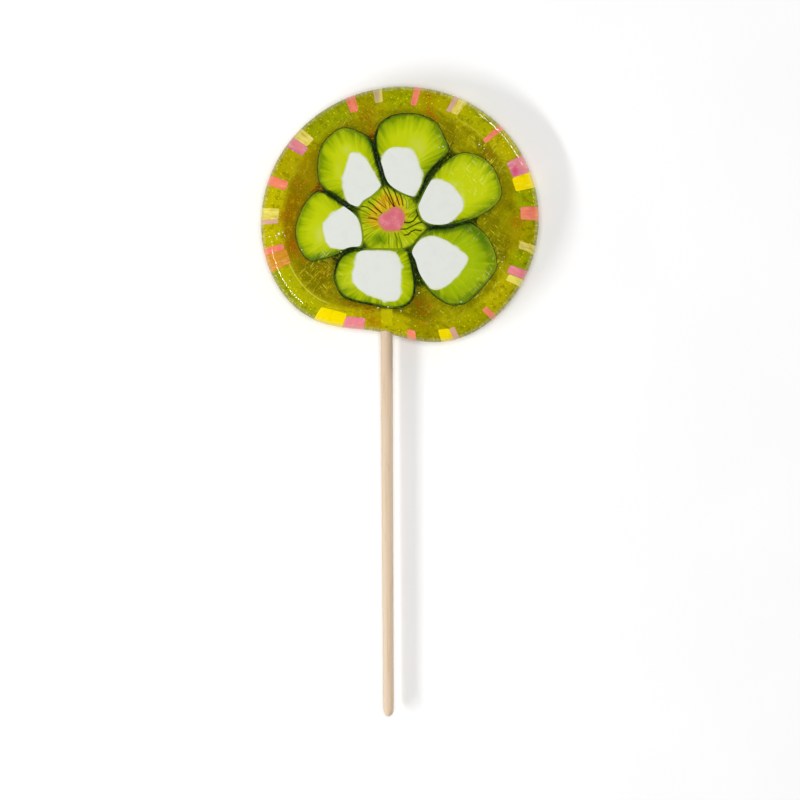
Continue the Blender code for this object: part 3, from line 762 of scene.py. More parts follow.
def painted(tree, base, layers):
    """A base colour with layers over it. Each layer has a value, where the layer starts and where it is full,
    how strong it is there, its colour, and any values from 0 to 1 that limit it."""
    result = base if isinstance(base, bpy.types.NodeSocket) else rgba(base)
    for value, low, high, strength, colour, *limits in layers:
        step = add(tree, "ShaderNodeMapRange", {
            "Value": value, "From Min": low, "From Max": high, "To Max": strength},
            interpolation_type="SMOOTHSTEP")
        factor = step.outputs["Result"]
        for limit in limits:
            factor = add(tree, "ShaderNodeMath", {0: factor, 1: limit}, operation="MULTIPLY").outputs[0]
        mixed = add(tree, "ShaderNodeMix", {0: factor, 6: result, 7: rgba(colour)}, data_type="RGBA")
        result = mixed.outputs[2]
    return result


def values_at(tree, attributes="", clouds=(), fibres=(), stretch=1.0):
    """What a material's colours are drawn from at each point: attributes of its piece by name, clouds of
    noise with a width in millimetres and a detail, and fibres, such clouds drawn out along the spokes."""
    place = add(tree, "ShaderNodeTexCoord").outputs["Object"]
    values = {"place": place}
    for name in attributes.split():
        values[name] = add(tree, "ShaderNodeAttribute", attribute_name=name).outputs["Fac"]
    noises = [(name, place, width * MM, detail) for name, width, detail in clouds]
    if fibres:
        spoke = add(tree, "ShaderNodeAttribute", attribute_name="spoke").outputs["Vector"]
        combed = add(tree, "ShaderNodeVectorMath", {0: spoke, 1: (1.0, 1.0, stretch)}, operation="MULTIPLY")
        noises += [(name, combed.outputs[0], width, detail) for name, width, detail in fibres]
    for name, vector, width, detail in noises:
        noise = add(tree, "ShaderNodeTexNoise", {"Vector": vector, "Scale": 1 / width, "Detail": detail})
        values[name] = noise.outputs["Fac"]
    return SimpleNamespace(**values)


def scratched(tree, colour, strength, tint):
    """The same colour under fine pale scratches, on one of two slants, where the sugar is worn."""
    at = values_at(tree, "worn", clouds=(("patch", 3.0, 1.0),))
    waver = add(tree, "ShaderNodeTexNoise", {"Vector": at.place, "Scale": 1 / (2.0 * MM), "Detail": 2.0})
    reach = (SCRATCH_WAVER, SCRATCH_WAVER, 0.0)
    moved = add(tree, "ShaderNodeVectorMath", {0: waver.outputs["Color"], 1: reach, 2: at.place},
                operation="MULTIPLY_ADD")
    layers = []
    for slant, low, high in ((52.0, 0.42, 0.5), (-44.0, 0.55, 0.47)):
        turned = add(tree, "ShaderNodeVectorRotate", {
            "Vector": moved.outputs[0], "Angle": math.radians(-slant)}, rotation_type="Z_AXIS")
        drawn = add(tree, "ShaderNodeVectorMath", {0: turned.outputs[0], 1: (SCRATCH_STRETCH, 1.0, 1.0)},
                    operation="MULTIPLY")
        lines = add(tree, "ShaderNodeTexNoise", {
            "Vector": drawn.outputs[0], "Scale": 1 / SCRATCH_WIDTH, "Detail": 1.0})
        here = add(tree, "ShaderNodeMapRange", {"Value": at.patch, "From Min": low, "From Max": high})
        layers.append((lines.outputs["Fac"], 0.6, 0.74, strength, tint, at.worn, here.outputs["Result"]))
    return painted(tree, colour, layers)


def boiled_sugar(made, colour, rough_low, rough_high, ripple, ripple_width):
    """Boiled sugar sets like glass: a hard, smooth shine over a slightly rippled, finely grained surface."""
    tree = made.node_tree
    at = values_at(tree, clouds=(("grain", 0.9, 3.0), ("swell", ripple_width, 2.0)))
    rough = add(tree, "ShaderNodeMapRange", {
        "Value": at.grain, "From Min": 0.3, "From Max": 0.7, "To Min": rough_low, "To Max": rough_high})
    bump = add(tree, "ShaderNodeBump", {"Height": at.swell, "Strength": ripple, "Distance": 0.2 * MM})
    shader = add(tree, "ShaderNodeBsdfPrincipled", {
        "Base Color": colour, "Roughness": rough.outputs["Result"], "IOR": 1.49,
        "Specular IOR Level": 0.4, "Normal": bump.outputs["Normal"]})
    add(tree, "ShaderNodeOutputMaterial", {"Surface": shader.outputs["BSDF"]})
    return made


def green_sugar_material(colours):
    """Clear boiled sugar coloured green, with brown haze, flecks and scratches. The thin rim is painted
    lighter, as light passing through it; a thin bright line where the face ends is a painted highlight, the
    steep outer edge is painted shade, and bright flecks near the rim are painted glints.
    """
    made, tree = new_material("boiled_sugar_green")
    at = values_at(tree, "inset outline haze light lime line stick amber shade gap gloom",
                   clouds=(("cloud", 7.0, 3.0), ("mottle", 1.6, 4.0), ("speck", 0.5, 2.0)),
                   fibres=(("comb", 0.45, 2.0),), stretch=0.22)
    # Small round flecks: brown ones in the haze, and bright ones near the rim that are painted glints.
    fleck_and_glint = add(tree, "ShaderNodeTexVoronoi", {
        "Vector": at.place, "Scale": 1 / (1.2 * MM)}).outputs["Distance"]
    near_rim, at_edge = (
        add(tree, "ShaderNodeMapRange", {
            "Value": at.inset, "From Min": start, "From Max": full}).outputs["Result"]
        for start, full in ((8.0, 4.0), (2.2, 0.3)))
    # How far each point is from the painted highlight where the face ends.
    from_highlight = add(tree, "ShaderNodeMath", {0: at.inset, 1: -RIM_HIGHLIGHT_INSET}, operation="ADD").outputs[0]
    off_highlight = add(tree, "ShaderNodeMath", {0: from_highlight}, operation="ABSOLUTE").outputs[0]
    narrow, grainy = (
        add(tree, "ShaderNodeMath", {0: noise, 1: 1.6, 2: distance}, operation="MULTIPLY_ADD").outputs[0]
        for noise, distance in ((at.mottle, at.gap), (at.speck, at.outline)))
    colour = painted(tree, colours.green, [
        (at.cloud, 0.45, 0.65, 0.6, "#A29C00"),
        (at.cloud, 0.5, 0.34, 0.7, "#706A00"),
        (at.shade, 0.0, 1.0, 0.95, "#686400"),
        (at.amber, 0.0, 1.0, 0.9, "#8C6000"),
        # Painted light: towards the thin rim the sugar is lighter, as light passing through it, and greener
        # in places.
        (at.inset, 9.0, 5.4, 0.5, "#968E00"),
        (at.inset, 7.6, 5.5, 1.0, colours.rim, at.light),
        (at.inset, 7.6, 5.5, 0.8, "#8A9C02", at.lime),
        # Where the painted highlight runs, a greener band nearer the edge.
        (at.inset, 3.0, 1.9, 0.7, "#7E8A0A", at.line),
        (at.mottle, 0.48, 0.34, 0.5, "#6E6400"),
        (at.mottle, 0.54, 0.68, 0.55, "#ACA600"),
        (at.outline, 2.0, 0.0, 0.5, "#565A06"),
        (at.mottle, 0.42, 0.6, 0.9, "#2C4208", at.gloom),
        (grainy, 1.15, 0.7, 0.7, "#364C08"),
        (narrow, 4.4, 3.0, 0.97, "#1A2C06"),
        (at.stick, 0.0, 1.0, 1.0, "#BCB404"),
        (at.mottle, 0.36, 0.62, 1.0, "#964A06", at.haze),
        (fleck_and_glint, 0.3, 0.16, 0.8, "#A03C08", at.haze),
        (at.speck, 0.61, 0.7, 0.7, "#C6BE0C"),
        (at.speck, 0.38, 0.28, 0.6, "#524E04"),
        # Painted glints: small bright flecks of tiny bubbles near the rim.
        (fleck_and_glint, 0.25, 0.11, 0.85, "#E4DC1C", near_rim),
        # Painted highlight: the thin bright line where the face ends.
        (off_highlight, 0.24, 0.06, 0.6, "#D6CE4A", at.line),
        # Painted shade: the steep outermost edge is darker.
        (at.inset, 0.9, 0.0, 0.6, "#8A7200"),
        (at.comb, 0.54, 0.66, 0.55, "#D6CC3C", at_edge),
        (at.comb, 0.48, 0.36, 0.5, "#646A00", at_edge),
    ])
    return boiled_sugar(made, scratched(tree, colour, 0.9, "#DCD63C"), 0.03, 0.08, 0.18, 2.2)


def petal_skin_material(colours):
    """A thin wall of very dark green sugar, which the cut shows as the line round each petal."""
    made, tree = new_material("boiled_sugar_dark_green")
    at = values_at(tree, "thin outline", clouds=(("blotch", 0.9, 3.0),))
    raised = add(tree, "ShaderNodeMath", {0: at.blotch, 1: at.thin}, operation="ADD").outputs[0]
    colour = painted(tree, colours.skin, [
        (at.blotch, 0.5, 0.68, 0.7, "#2E560C"),
        (raised, 0.6, 0.95, 1.0, "#4E6A10"),
        (at.outline, 0.05, 0.4, 1.0, "#7C920E", at.thin),
        (raised, 0.95, 1.5, 1.0, "#84960E"),
    ])
    return boiled_sugar(made, colour, 0.06, 0.16, 0.4, 0.8)


def petal_flesh_material(colours):
    """Pulled lime sugar: its fibres fan out from the core and darken towards the skin."""
    made, tree = new_material("pulled_sugar_lime")
    at = values_at(tree, "outline thin core bloom deep lush gap", clouds=(("soft", 2.4, 1.0),),
                   fibres=(("fibre", 0.7, 3.0), ("broad", 2.0, 2.0)), stretch=0.1)
    fine, wide, blur, narrow = (
        add(tree, "ShaderNodeMath", {0: noise, 1: share, 2: start}, operation="MULTIPLY_ADD").outputs[0]
        for noise, share, start in ((at.fibre, 4.0, -2.0), (at.broad, 4.0, -2.0), (at.soft, 1.8, at.core),
                                    (at.fibre, 2.4, at.gap)))
    depth = at.outline
    for shift in (fine, wide):
        depth = add(tree, "ShaderNodeMath", {0: depth, 1: shift}, operation="ADD").outputs[0]
    thick = add(tree, "ShaderNodeMath", {0: 1.0, 1: at.thin}, operation="SUBTRACT").outputs[0]
    margin = add(tree, "ShaderNodeMapRange", {"Value": at.outline, "From Min": 5.0, "From Max": 1.5})
    colour = painted(tree, colours.flesh, [
        (depth, 5.2, 3.2, 1.0, "#ACBC00"),
        (at.lush, 0.0, 1.0, 1.0, "#729C00"),
        (depth, 3.2, 1.6, 0.9, "#94A800"),
        (depth, 1.7, 0.4, 0.75, "#678200"),
        (at.fibre, 0.54, 0.7, 0.25, "#CCD220"),
        (at.fibre, 0.5, 0.34, 0.5, "#6A8800", margin.outputs["Result"]),
        (at.broad, 0.45, 0.62, 0.25, "#B2C000"),
        (at.deep, 0.0, 1.0, 1.0, "#3F6C06"),
        (at.bloom, 0.0, 1.0, 0.8, "#CED460"),
        (blur, 1.25, 0.6, 0.95, "#D6DAC0"),
        (at.outline, 1.1, 0.5, 0.5, "#3C5A0A", thick),
        (narrow, 4.0, 2.2, 0.95, "#1C300A"),
    ])
    return boiled_sugar(made, scratched(tree, colour, 0.75, "#E4EA80"), 0.05, 0.12, 0.2, 1.6)


def petal_core_material(colours):
    """White aerated sugar: pulled until it is full of fine bubbles, so it is cloudy and even."""
    made, tree = new_material("pulled_sugar_white")
    at = values_at(tree, "core", clouds=(("cloud", 3.0, 4.0), ("ragged", 2.4, 1.0)))
    edge = add(tree, "ShaderNodeMath", {
        0: at.ragged, 1: -1.2, 2: at.core}, operation="MULTIPLY_ADD").outputs[0]
    colour = painted(tree, colours.core, [
        (at.cloud, 0.45, 0.7, 0.5, "#D6DAD2"),
        (edge, 0.0, -0.6, 0.6, "#CCD28C"),
    ])
    return boiled_sugar(made, colour, 0.07, 0.16, 0.25, 2.0)


def centre_material(colours):
    """Creased lime sugar round the heart, with an amber glow at its upper left, dark folds fanning out that
    are painted shade in the creases, and small pale streaks that are painted highlights.
    """
    made, tree = new_material("creased_sugar_lime")
    at = values_at(tree, "crease glow shade pale outline heart gap thin", clouds=(("soft", 1.6, 3.0),),
                   fibres=(("fibre", 0.55, 3.0),), stretch=0.15)
    thick = add(tree, "ShaderNodeMath", {0: 1.0, 1: at.thin}, operation="SUBTRACT").outputs[0]
    colour = painted(tree, colours.centre, [
        (at.soft, 0.4, 0.65, 0.6, "#98B000"),
        (at.fibre, 0.48, 0.62, 0.8, "#C2CC08"),
        (at.fibre, 0.48, 0.32, 0.6, "#688A00"),
        (at.shade, 0.0, 1.0, 1.0, "#4E7A00"),
        (at.glow, 0.0, 1.0, 1.0, "#D0A806"),
        (at.fibre, 0.5, 0.64, 0.7, "#E4B838", at.glow),
        (at.fibre, 0.47, 0.36, 0.8, "#8C6000", at.glow),
        (at.heart, 0.9, 0.0, 0.5, "#CC9030"),
        # Painted highlights: small pale streaks.
        (at.pale, 0.0, 1.0, 0.8, "#C6D02C"),
        (at.outline, 0.7, 0.1, 0.85, "#2E4A08", thick),
        (at.gap, 3.0, 1.2, 0.9, "#1E3208"),
        # Painted shade: the creases are near black.
        (at.crease, 0.0, 0.9, 1.0, "#241E02"),
    ])
    return boiled_sugar(made, colour, 0.06, 0.15, 0.3, 1.0)


def heart_material(colours):
    """Pink sugar with small darker specks."""
    made, tree = new_material("boiled_sugar_pink")
    at = values_at(tree, "heart", clouds=(("cloud", 2.4, 3.0), ("speck", 0.6, 2.0)))
    colour = painted(tree, colours.heart, [
        (at.cloud, 0.44, 0.6, 0.7, "#CE6470"),
        (at.cloud, 0.5, 0.36, 0.7, "#DE8490"),
        (at.speck, 0.6, 0.72, 0.7, "#B04E68"),
        (at.heart, 0.9, 0.0, 0.6, "#C88650"),
    ])
    return boiled_sugar(made, colour, 0.06, 0.16, 0.3, 1.2)


def strip_material(colours, colour_name):
    """A strip of opaque coloured sugar let into the rim, cloudy and a little streaked towards the middle."""
    second, dark, light, lit = STRIP_TONES[colour_name]
    made, tree = new_material(f"boiled_sugar_{colour_name}")
    at = values_at(tree, "inset dusty lift blush smoke", clouds=(("cloud", 1.8, 3.0),),
                   fibres=(("streak", 0.7, 3.0),), stretch=0.25)
    colour = painted(tree, getattr(colours, colour_name), [
        (at.cloud, 0.45, 0.65, 0.8, second),
        (at.streak, 0.54, 0.7, 0.6, dark),
        (at.streak, 0.46, 0.3, 0.7, light),
        # Painted light: on some stretches of the rim the strips take their colour where light passes.
        (at.lift, 0.0, 1.0, 0.45, lit),
        (at.dusty, 0.0, 1.0, 1.0, "#CCB48C"),
        (at.blush, 0.0, 1.0, 1.0, "#D04C78"),
        (at.smoke, 0.0, 1.0, 1.0, "#B09884"),
        (at.inset, 1.4, 0.0, 0.4, "#A89C4C"),
    ])
    return boiled_sugar(made, colour, 0.03, 0.08, 0.18, 1.4)


def grain_material():
    """Loose grains of sugar: small clear crystals, some painted near-white as glints and some coloured by the
    sugar under them.
    """
    made, tree = new_material("sugar_crystals")
    at = values_at(tree, "white", clouds=(("tint", 1.1, 1.0),))
    colour = painted(tree, "#D4CE30", [
        (at.tint, 0.5, 0.6, 0.7, "#E6E08C"),
        # Painted glint: the listed grains are near-white.
        (at.white, 0.0, 1.0, 0.95, "#F6F8F4"),
    ])
    return boiled_sugar(made, colour, 0.04, 0.1, 0.2, 0.3)


def birch_material(colours):
    """Turned birch left bare: pale, dry and fine grained, with faint darker fibres along the stick."""
    made, tree = new_material("birch_turned")
    place = add(tree, "ShaderNodeTexCoord").outputs["Object"]
    drawn = add(tree, "ShaderNodeMapping", {"Vector": place, "Scale": (1.0, 0.03, 1.0)}).outputs["Vector"]
    broad, grain, pore = (
        add(tree, "ShaderNodeTexNoise", {
            "Vector": drawn, "Scale": 1 / (width * MM), "Detail": detail}).outputs["Fac"]
        for width, detail in ((2.2, 2.0), (0.5, 4.0), (0.22, 2.0)))
    colour = painted(tree, colours.birch, [
        (broad, 0.42, 0.66, 0.6, "#DCC8AE"),
        (grain, 0.52, 0.72, 0.45, "#C4A682"),
        (pore, 0.66, 0.78, 0.5, "#A48460"),
    ])
    rough = add(tree, "ShaderNodeMapRange", {"Value": grain, "To Min": 0.55, "To Max": 0.75})
    bump = add(tree, "ShaderNodeBump", {"Height": grain, "Strength": 0.3, "Distance": 0.1 * MM})
    shader = add(tree, "ShaderNodeBsdfPrincipled", {
        "Base Color": colour, "Roughness": rough.outputs["Result"], "Normal": bump.outputs["Normal"]})
    add(tree, "ShaderNodeOutputMaterial", {"Surface": shader.outputs["BSDF"]})
    return made


def floor_material():
    """Matt white card, with only a trace of unevenness."""
    made, tree = new_material("matt_white_card")
    at = values_at(tree, clouds=(("cloud", 60.0, 2.0),))
    colour = painted(tree, "#FCFCFC", [(at.cloud, 0.4, 0.6, 0.3, "#F8F8F9")])
    shader = add(tree, "ShaderNodeBsdfPrincipled", {
        "Base Color": colour, "Roughness": 0.9, "Specular IOR Level": 0.2})
    add(tree, "ShaderNodeOutputMaterial", {"Surface": shader.outputs["BSDF"]})
    return made


def strip_corners(sizes, group_start, lean, strips):
    """Each strip's colour, its width in millimetres, and its clockwise outline with rounded inner corners."""
    start = math.radians(group_start)
    for colour, width, depth in strips:
        end = start + width * MM / float(head_radius(sizes, start))
        inner_start = start + math.radians(lean)
        inner_end = end + math.radians(lean)
        corners = [head_point(sizes, end, -STRIP_OVERHANG), head_point(sizes, start, -STRIP_OVERHANG),
                   head_point(sizes, inner_start, depth * MM), head_point(sizes, inner_end, depth * MM)]
        reach = min(CORNER_REACH, CORNER_SHARE * width) * MM
        loop = corners[:2]
        for before, corner, after in (corners[1:], (corners[2], corners[3], corners[0])):
            first = corner + (before - corner).normalized() * reach
            last = corner + (after - corner).normalized() * reach
            for t in np.linspace(0.0, 1.0, CORNER_STEPS + 1).tolist():
                loop.append(first * (1 - t) ** 2 + 2 * corner * t * (1 - t) + last * t ** 2)
        yield colour, width, loop
        start = end


def petal_distances(plan):
    """Distances from each point to the outlines of the petals, the nearest petal first."""
    return np.sort([distances(plan, smooth_loop(points)) for points in PETALS], axis=0)


def body_attributes(sizes, plan):
    """The slice's points: their place in the rim and by the flower, the haze, the scratches and the stick."""
    angle = np.arctan2(plan[:, 1], plan[:, 0])
    inset = (head_radius(sizes, angle) - np.hypot(plan[:, 0], plan[:, 1])) / MM
    near = petal_distances(plan)
    along = np.minimum(plan[:, 1] / MM - PATCH_BOTTOM, PATCH_TOP - plan[:, 1] / MM) / PATCH_END_BLUR
    across = (PATCH_HALF_WIDTH - np.abs(plan[:, 0] / MM - PATCH_MIDDLE)) / PATCH_SIDE_BLUR
    stick = np.clip(along, 0.0, 1.0) * np.clip(across, 0.0, 1.0) * PATCH_STRENGTH
    ring = spokes(plan, (0.0, 0.0), sizes.mean_radius / MM)
    ring[:, 2] = inset
    return {
        "inset": inset,
        "outline": near[0] / MM,
        "gap": (near[0] + near[1]) / MM,
        "light": around_rim(angle, RIM_LIGHT),
        "lime": around_rim(angle, RIM_GREEN),
        "line": around_rim(angle, RIM_HIGHLIGHT),
        "amber": around_rim(angle, BODY_AMBER, soft=6.0),
        "shade": around_rim(angle, BODY_SHADE, soft=6.0),
        "haze": spots(plan, HAZE),
        "gloom": spots(plan, GLOOM),
        "worn": spots(plan, WORN),
        "stick": stick,
        "spoke": ring,
    }


def rim_attributes(sizes, plan, dusty):
    """A strip's points: their place in the rim, how dusty the strip is, and where it is painted lit, pink or
    grey.
    """
    values = body_attributes(sizes, plan)
    angle = np.arctan2(plan[:, 1], plan[:, 0])
    return {
        "inset": values["inset"],
        "spoke": values["spoke"],
        "dusty": np.full(len(plan), dusty),
        "lift": around_rim(angle, STRIP_LIGHT, soft=3.0),
        "blush": spots(plan, BLUSH),
        "smoke": spots(plan, SMOKE),
    }


def petal_attributes(plan, number, petal_loop, core_loop):
    """A petal's points: distances to its outline and core, its fibres, and its pale and dark patches."""
    middle = np.mean(np.array(core_loop), axis=0)
    near = petal_distances(plan)
    crowded = np.clip(CROWDED - (near[1] - near[0]) / MM, 0.0, 1.0)
    shift, lush, thin = PETAL_TONES[number - 1]
    return {
        "thin": np.clip(thin + THINNED * spots(plan, FAINT) - THICKENED * crowded, 0.0, 1.0),
        "lush": np.full(len(plan), lush),
        "gap": (near[0] + near[1]) / MM,
        "worn": spots(plan, WORN),
        "outline": distances(plan, petal_loop) / MM + shift * np.clip(near[0] / MM - EDGE_KEPT, 0.0, 1.0),
        "core": distances(plan, core_loop) / MM,
        "bloom": spots(plan, BLOOM),
        "deep": spots(plan, DEEP),
        "spoke": spokes(plan, middle, PETAL_RING),
    }


def centre_attributes(plan):
    """The middle's points: its creases, its colours, and distances to the petals and the heart."""
    near = petal_distances(plan)
    return {
        "crease": creased(plan),
        "glow": spots(plan, GLOW),
        "shade": spots(plan, SHADE),
        "pale": spots(plan, PALE_HIGHLIGHTS),
        "thin": spots(plan, FAINT),
        "outline": near[0] / MM,
        "gap": (near[0] + near[1]) / MM,
        "heart": distances(plan, smooth_loop(HEART)) / MM,
        "spoke": spokes(plan, HEART_MIDDLE, CENTRE_RING),
    }


class LOLLIPOP_OT_green_slice(bpy.types.Operator):
    """Make the slice of green sugar, with the slots for the petals, the strips and the stick"""

    bl_idname = "lollipop.green_slice"
    bl_label = "Green Slice"

    def execute(self, context):
        sizes = context.scene.lollipop_sizes
        body = slice_solid(sizes, "green_slice")
        for points in PETALS:
            combine(body, cutting_prism(grown(smooth_loop(points), SLOT_ROOM)), "DIFFERENCE")
        combine(body, stick_solid(sizes, "cutter", BORE_ROOM), "DIFFERENCE")
        for group in RIM_STRIPS:
            for _, _, corners in strip_corners(sizes, *group):
                combine(body, cutting_prism(grown(corners, HAIRLINE)), "DIFFERENCE")
        finish_piece(sizes, body, BODY_CELL, lambda plan: body_attributes(sizes, plan),
                     green_sugar_material(context.scene.lollipop_colours), ["clear_sugar"])
        return {"FINISHED"}


class LOLLIPOP_OT_petals(bpy.types.Operator):
    """Make the six petals: a dark skin, lime flesh and a white core in each"""

    bl_idname = "lollipop.petals"
    bl_label = "Petals"

    def execute(self, context):
        sizes = context.scene.lollipop_sizes
        colours = context.scene.lollipop_colours
        materials = {
            "skin": petal_skin_material(colours),
            "flesh": petal_flesh_material(colours),
            "core": petal_core_material(colours),
        }
        face = sizes.thickness
        for number, (petal_points, core_points) in enumerate(zip(PETALS, CORES), start=1):
            petal_loop, core_loop = smooth_loop(petal_points), smooth_loop(core_points)
            skin = prism(f"petal_{number}_skin", grown(petal_loop, -HAIRLINE), face + SKIN_RISE)
            combine(skin, cutting_prism(grown(petal_loop, -SKIN_WALL)), "DIFFERENCE")
            inside_skin = grown(petal_loop, -SKIN_WALL - HAIRLINE)
            flesh = prism(f"petal_{number}_flesh", inside_skin, face + FLESH_RISE)
            combine(flesh, cutting_prism(grown(core_loop, HAIRLINE)), "DIFFERENCE")
            core = prism(f"petal_{number}_core", grown(core_loop, -HAIRLINE), face + CORE_RISE)
            combine(core, cutting_prism(inside_skin), "INTERSECT")
            for layer, piece in (("skin", skin), ("flesh", flesh), ("core", core)):
                if number == STICK_PETAL:
                    combine(piece, stick_solid(sizes, "cutter", BORE_ROOM), "DIFFERENCE")
                finish_piece(
                    sizes, piece, None if layer == "skin" else FLESH_CELL,
                    lambda plan: petal_attributes(plan, number, petal_loop, core_loop), materials[layer],
                    [f"petal_{layer}_{number}"])
        return {"FINISHED"}


class LOLLIPOP_OT_flower_middle(bpy.types.Operator):
    """Make the creased middle of the flower and the pink heart in it"""

    bl_idname = "lollipop.flower_middle"
    bl_label = "Flower Middle"

    def execute(self, context):
        sizes = context.scene.lollipop_sizes
        colours = context.scene.lollipop_colours
        turns = [-math.tau * side / CENTRE_SIDES for side in range(CENTRE_SIDES)]
        disc = [CENTRE_MIDDLE + CENTRE_RADIUS * Vector((math.cos(turn), math.sin(turn))) for turn in turns]
        centre = prism("flower_middle", disc, sizes.thickness + CENTRE_RISE)
        for points in PETALS:
            combine(centre, cutting_prism(grown(smooth_loop(points), CENTRE_ROOM)), "DIFFERENCE")
        combine(centre, cutting_prism(grown(smooth_loop(HEART), HAIRLINE)), "DIFFERENCE")
        combine(centre, stick_solid(sizes, "cutter", BORE_ROOM), "DIFFERENCE")
        finish_piece(sizes, centre, CENTRE_CELL, centre_attributes, centre_material(colours),
                     ["flower_centre"], groove=lambda plan: creased(plan) * CREASE_DEPTH)
        heart = prism("pink_heart", grown(smooth_loop(HEART), -HAIRLINE), sizes.thickness + HEART_RISE)
        finish_piece(sizes, heart, FLESH_CELL, centre_attributes, heart_material(colours),
                     ["flower_heart"])
        return {"FINISHED"}


class LOLLIPOP_OT_rim_strips(bpy.types.Operator):
    """Make the short strips of coloured sugar in the rim"""

    bl_idname = "lollipop.rim_strips"
    bl_label = "Rim Strips"

    def execute(self, context):
        sizes = context.scene.lollipop_sizes
        counts = {}
        materials = {}
        for group in RIM_STRIPS:
            for colour, width, corners in strip_corners(sizes, *group):
                counts[colour] = counts.get(colour, 0) + 1
                if colour not in materials:
                    materials[colour] = strip_material(context.scene.lollipop_colours, colour)
                strip = slice_solid(sizes, f"rim_{colour}_{counts[colour]}")
                combine(strip, cutting_prism(grown(corners, -HAIRLINE)), "INTERSECT")
                dusty = DUST if colour == "mauve" and width < NARROW_STRIP else 0.0
                finish_piece(sizes, strip, STRIP_CELL, lambda plan: rim_attributes(sizes, plan, dusty),
                             materials[colour], [f"strip_{colour}_{counts[colour]}"])
        return {"FINISHED"}


class LOLLIPOP_OT_sugar_grains(bpy.types.Operator):
    """Scatter small grains of sugar over the face, most of them near the rim"""

    bl_idname = "lollipop.sugar_grains"
    bl_label = "Sugar Grains"

    def execute(self, context):
        sizes = context.scene.lollipop_sizes
        draw = random.Random(GRAIN_SEED)
        places = list(GRAINS)
        while len(places) < len(GRAINS) + LOOSE_GRAINS:
            turn = draw.uniform(0.0, math.tau)
            inset = sizes.rim_reach + abs(draw.gauss(0.0, LOOSE_SPREAD)) * MM
            x, y = head_point(sizes, turn, inset) / MM
            places.append((x, y, draw.uniform(*LOOSE_RADII)))
        mesh = bmesh.new()
        for x, y, radius in places:
            made = bmesh.ops.create_icosphere(mesh, subdivisions=1, radius=radius * MM)["verts"]
            squeezed = Matrix.Diagonal((1.0, GRAIN_WIDTH, min(1.0, GRAIN_HEIGHT / radius), 1.0))
            turned = Matrix.Rotation(draw.uniform(0.0, math.tau), 4, "Z") @ squeezed
            ground = Matrix.Translation((x * MM, y * MM, sizes.thickness))
            bmesh.ops.transform(mesh, matrix=ground @ turned, verts=made)
        bmesh.ops.translate(mesh, vec=head_middle(), verts=mesh.verts)
        # The listed grains are marked for the near-white painted glint, the loose ones not.
        white = np.repeat([1.0] * len(GRAINS) + [0.0] * LOOSE_GRAINS, len(mesh.verts) // len(places))
        grains = object_from("sugar_grains", mesh)
        attribute = grains.data.attributes.new("white", "FLOAT", "POINT")
        attribute.data.foreach_set("value", white.astype(np.float32))
        grains.data.materials.append(grain_material())
        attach(grains, "root")
        return {"FINISHED"}


class LOLLIPOP_OT_stick(bpy.types.Operator):
    """Make the turned wooden stick"""

    bl_idname = "lollipop.stick"
    bl_label = "Stick"

    def execute(self, context):
        sizes = context.scene.lollipop_sizes
        stick = stick_solid(sizes, "lolly_stick", rings=STICK_RINGS)
        birch = birch_material(context.scene.lollipop_colours)
        finish_piece(sizes, stick, None, lambda plan: {}, birch, ["stick"])
        return {"FINISHED"}


def soft_light(name, place, target, width, length, watts):
    """A rectangular lamp that faces a point."""
    lamp = bpy.data.lights.new(name, "AREA")
    lamp.shape = "RECTANGLE"
    lamp.size = width
    lamp.size_y = length
    lamp.energy = watts
    made = bpy.data.objects.new(name, lamp)
    made.location = place
    made.rotation_euler = (Vector(target) - Vector(place)).to_track_quat("-Z", "Y").to_euler()
    bpy.context.scene.collection.objects.link(made)
    return made


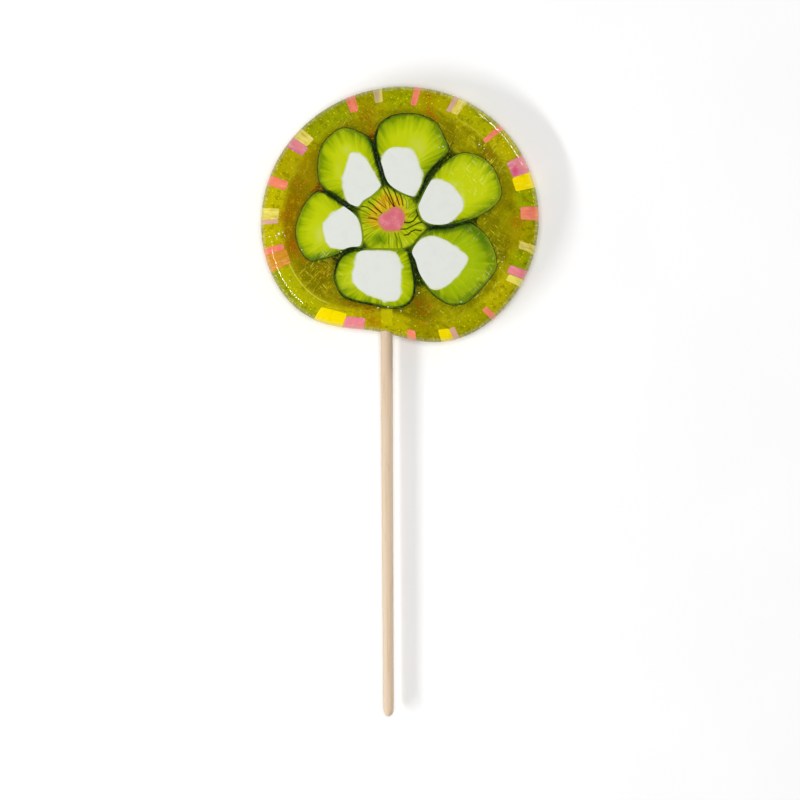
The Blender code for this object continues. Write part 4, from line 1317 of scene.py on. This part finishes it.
class LOLLIPOP_OT_stage(bpy.types.Operator):
    """Set the pale floor, the soft studio lamps and the camera over the lollipop"""

    bl_idname = "lollipop.stage"
    bl_label = "Stage"

    def execute(self, context):
        middle = head_middle()
        mesh = bmesh.new()
        bmesh.ops.create_grid(mesh, x_segments=2, y_segments=2, size=FLOOR_REACH)
        floor = object_from("floor", mesh)
        floor.data.materials.append(floor_material())

        # A pale dome lights everything softly, and nothing mirrors it. The lamps draw the bright lines on the
        # rounding of the rim; the thin line where the face ends is a painted highlight.
        world = bpy.data.worlds.new("studio")
        world.use_nodes = True
        sky = world.node_tree
        direction = add(sky, "ShaderNodeTexCoord").outputs["Generated"]
        height = add(sky, "ShaderNodeSeparateXYZ", {"Vector": direction}).outputs["Z"]
        glow = add(sky, "ShaderNodeMapRange", {
            "Value": height, "From Min": ZENITH_HEIGHTS[0], "From Max": ZENITH_HEIGHTS[1],
            "To Min": ZENITH_STRENGTH, "To Max": DOME_STRENGTH}, interpolation_type="SMOOTHSTEP")
        sky.links.new(glow.outputs["Result"], sky.nodes["Background"].inputs["Strength"])
        sky.nodes["Background"].inputs["Color"].default_value = rgba("#FFFFFF")
        context.scene.world = world
        world.cycles_visibility.glossy = False

        for index, (turn, rise, distance, width, depth, watts, mirrored) in enumerate(LAMPS, start=1):
            heading = Matrix.Rotation(math.radians(turn), 3, "Z")
            away = heading @ Matrix.Rotation(-math.radians(rise), 3, "Y") @ Vector((1.0, 0.0, 0.0))
            lamp = soft_light(f"lamp_{index}", middle + away * distance, middle, width, depth, watts)
            lamp.visible_glossy = mirrored

        lens = bpy.data.cameras.new("camera")
        lens.lens = LENS
        lens.sensor_width = SENSOR
        lens.clip_start = NEAREST
        camera = bpy.data.objects.new("camera", lens)
        below_head = (FRAME_PIXELS / 2 - HEAD_ROW) * PIXEL
        distance = FRAME_PIXELS * PIXEL * LENS / SENSOR
        camera.location = (middle.x, middle.y - below_head, FRAMED_HEIGHT + distance)
        context.scene.collection.objects.link(camera)
        context.scene.camera = camera
        context.scene.view_settings.view_transform = "Standard"
        return {"FINISHED"}


class LOLLIPOP_PT_panel(bpy.types.Panel):
    """Lists the pieces of the lollipop with their sizes and colours"""

    bl_idname = "LOLLIPOP_PT_panel"
    bl_label = "Lollipop"
    bl_space_type = "VIEW_3D"
    bl_region_type = "UI"
    bl_category = "Lollipop"

    def draw(self, context):
        layout = self.layout
        for group in (context.scene.lollipop_sizes, context.scene.lollipop_colours):
            box = layout.box()
            for name in group.bl_rna.properties.keys():
                if name not in ("rna_type", "name"):
                    box.prop(group, name)
        for operator in OPERATORS:
            layout.operator(operator.bl_idname)


OPERATORS = (
    LOLLIPOP_OT_green_slice,
    LOLLIPOP_OT_petals,
    LOLLIPOP_OT_flower_middle,
    LOLLIPOP_OT_rim_strips,
    LOLLIPOP_OT_sugar_grains,
    LOLLIPOP_OT_stick,
    LOLLIPOP_OT_stage,
)
CLASSES = (LollipopSizes, LollipopColours, *OPERATORS, LOLLIPOP_PT_panel)


def register():
    for cls in CLASSES:
        bpy.utils.register_class(cls)
    bpy.types.Scene.lollipop_sizes = PointerProperty(type=LollipopSizes)
    bpy.types.Scene.lollipop_colours = PointerProperty(type=LollipopColours)


def unregister():
    del bpy.types.Scene.lollipop_colours
    del bpy.types.Scene.lollipop_sizes
    for cls in reversed(CLASSES):
        bpy.utils.unregister_class(cls)


def main():
    register()
    bpy.ops.lollipop.green_slice()
    bpy.ops.lollipop.petals()
    bpy.ops.lollipop.flower_middle()
    bpy.ops.lollipop.rim_strips()
    bpy.ops.lollipop.sugar_grains()
    bpy.ops.lollipop.stick()
    bpy.ops.lollipop.stage()


if __name__ == "__main__":
    main()
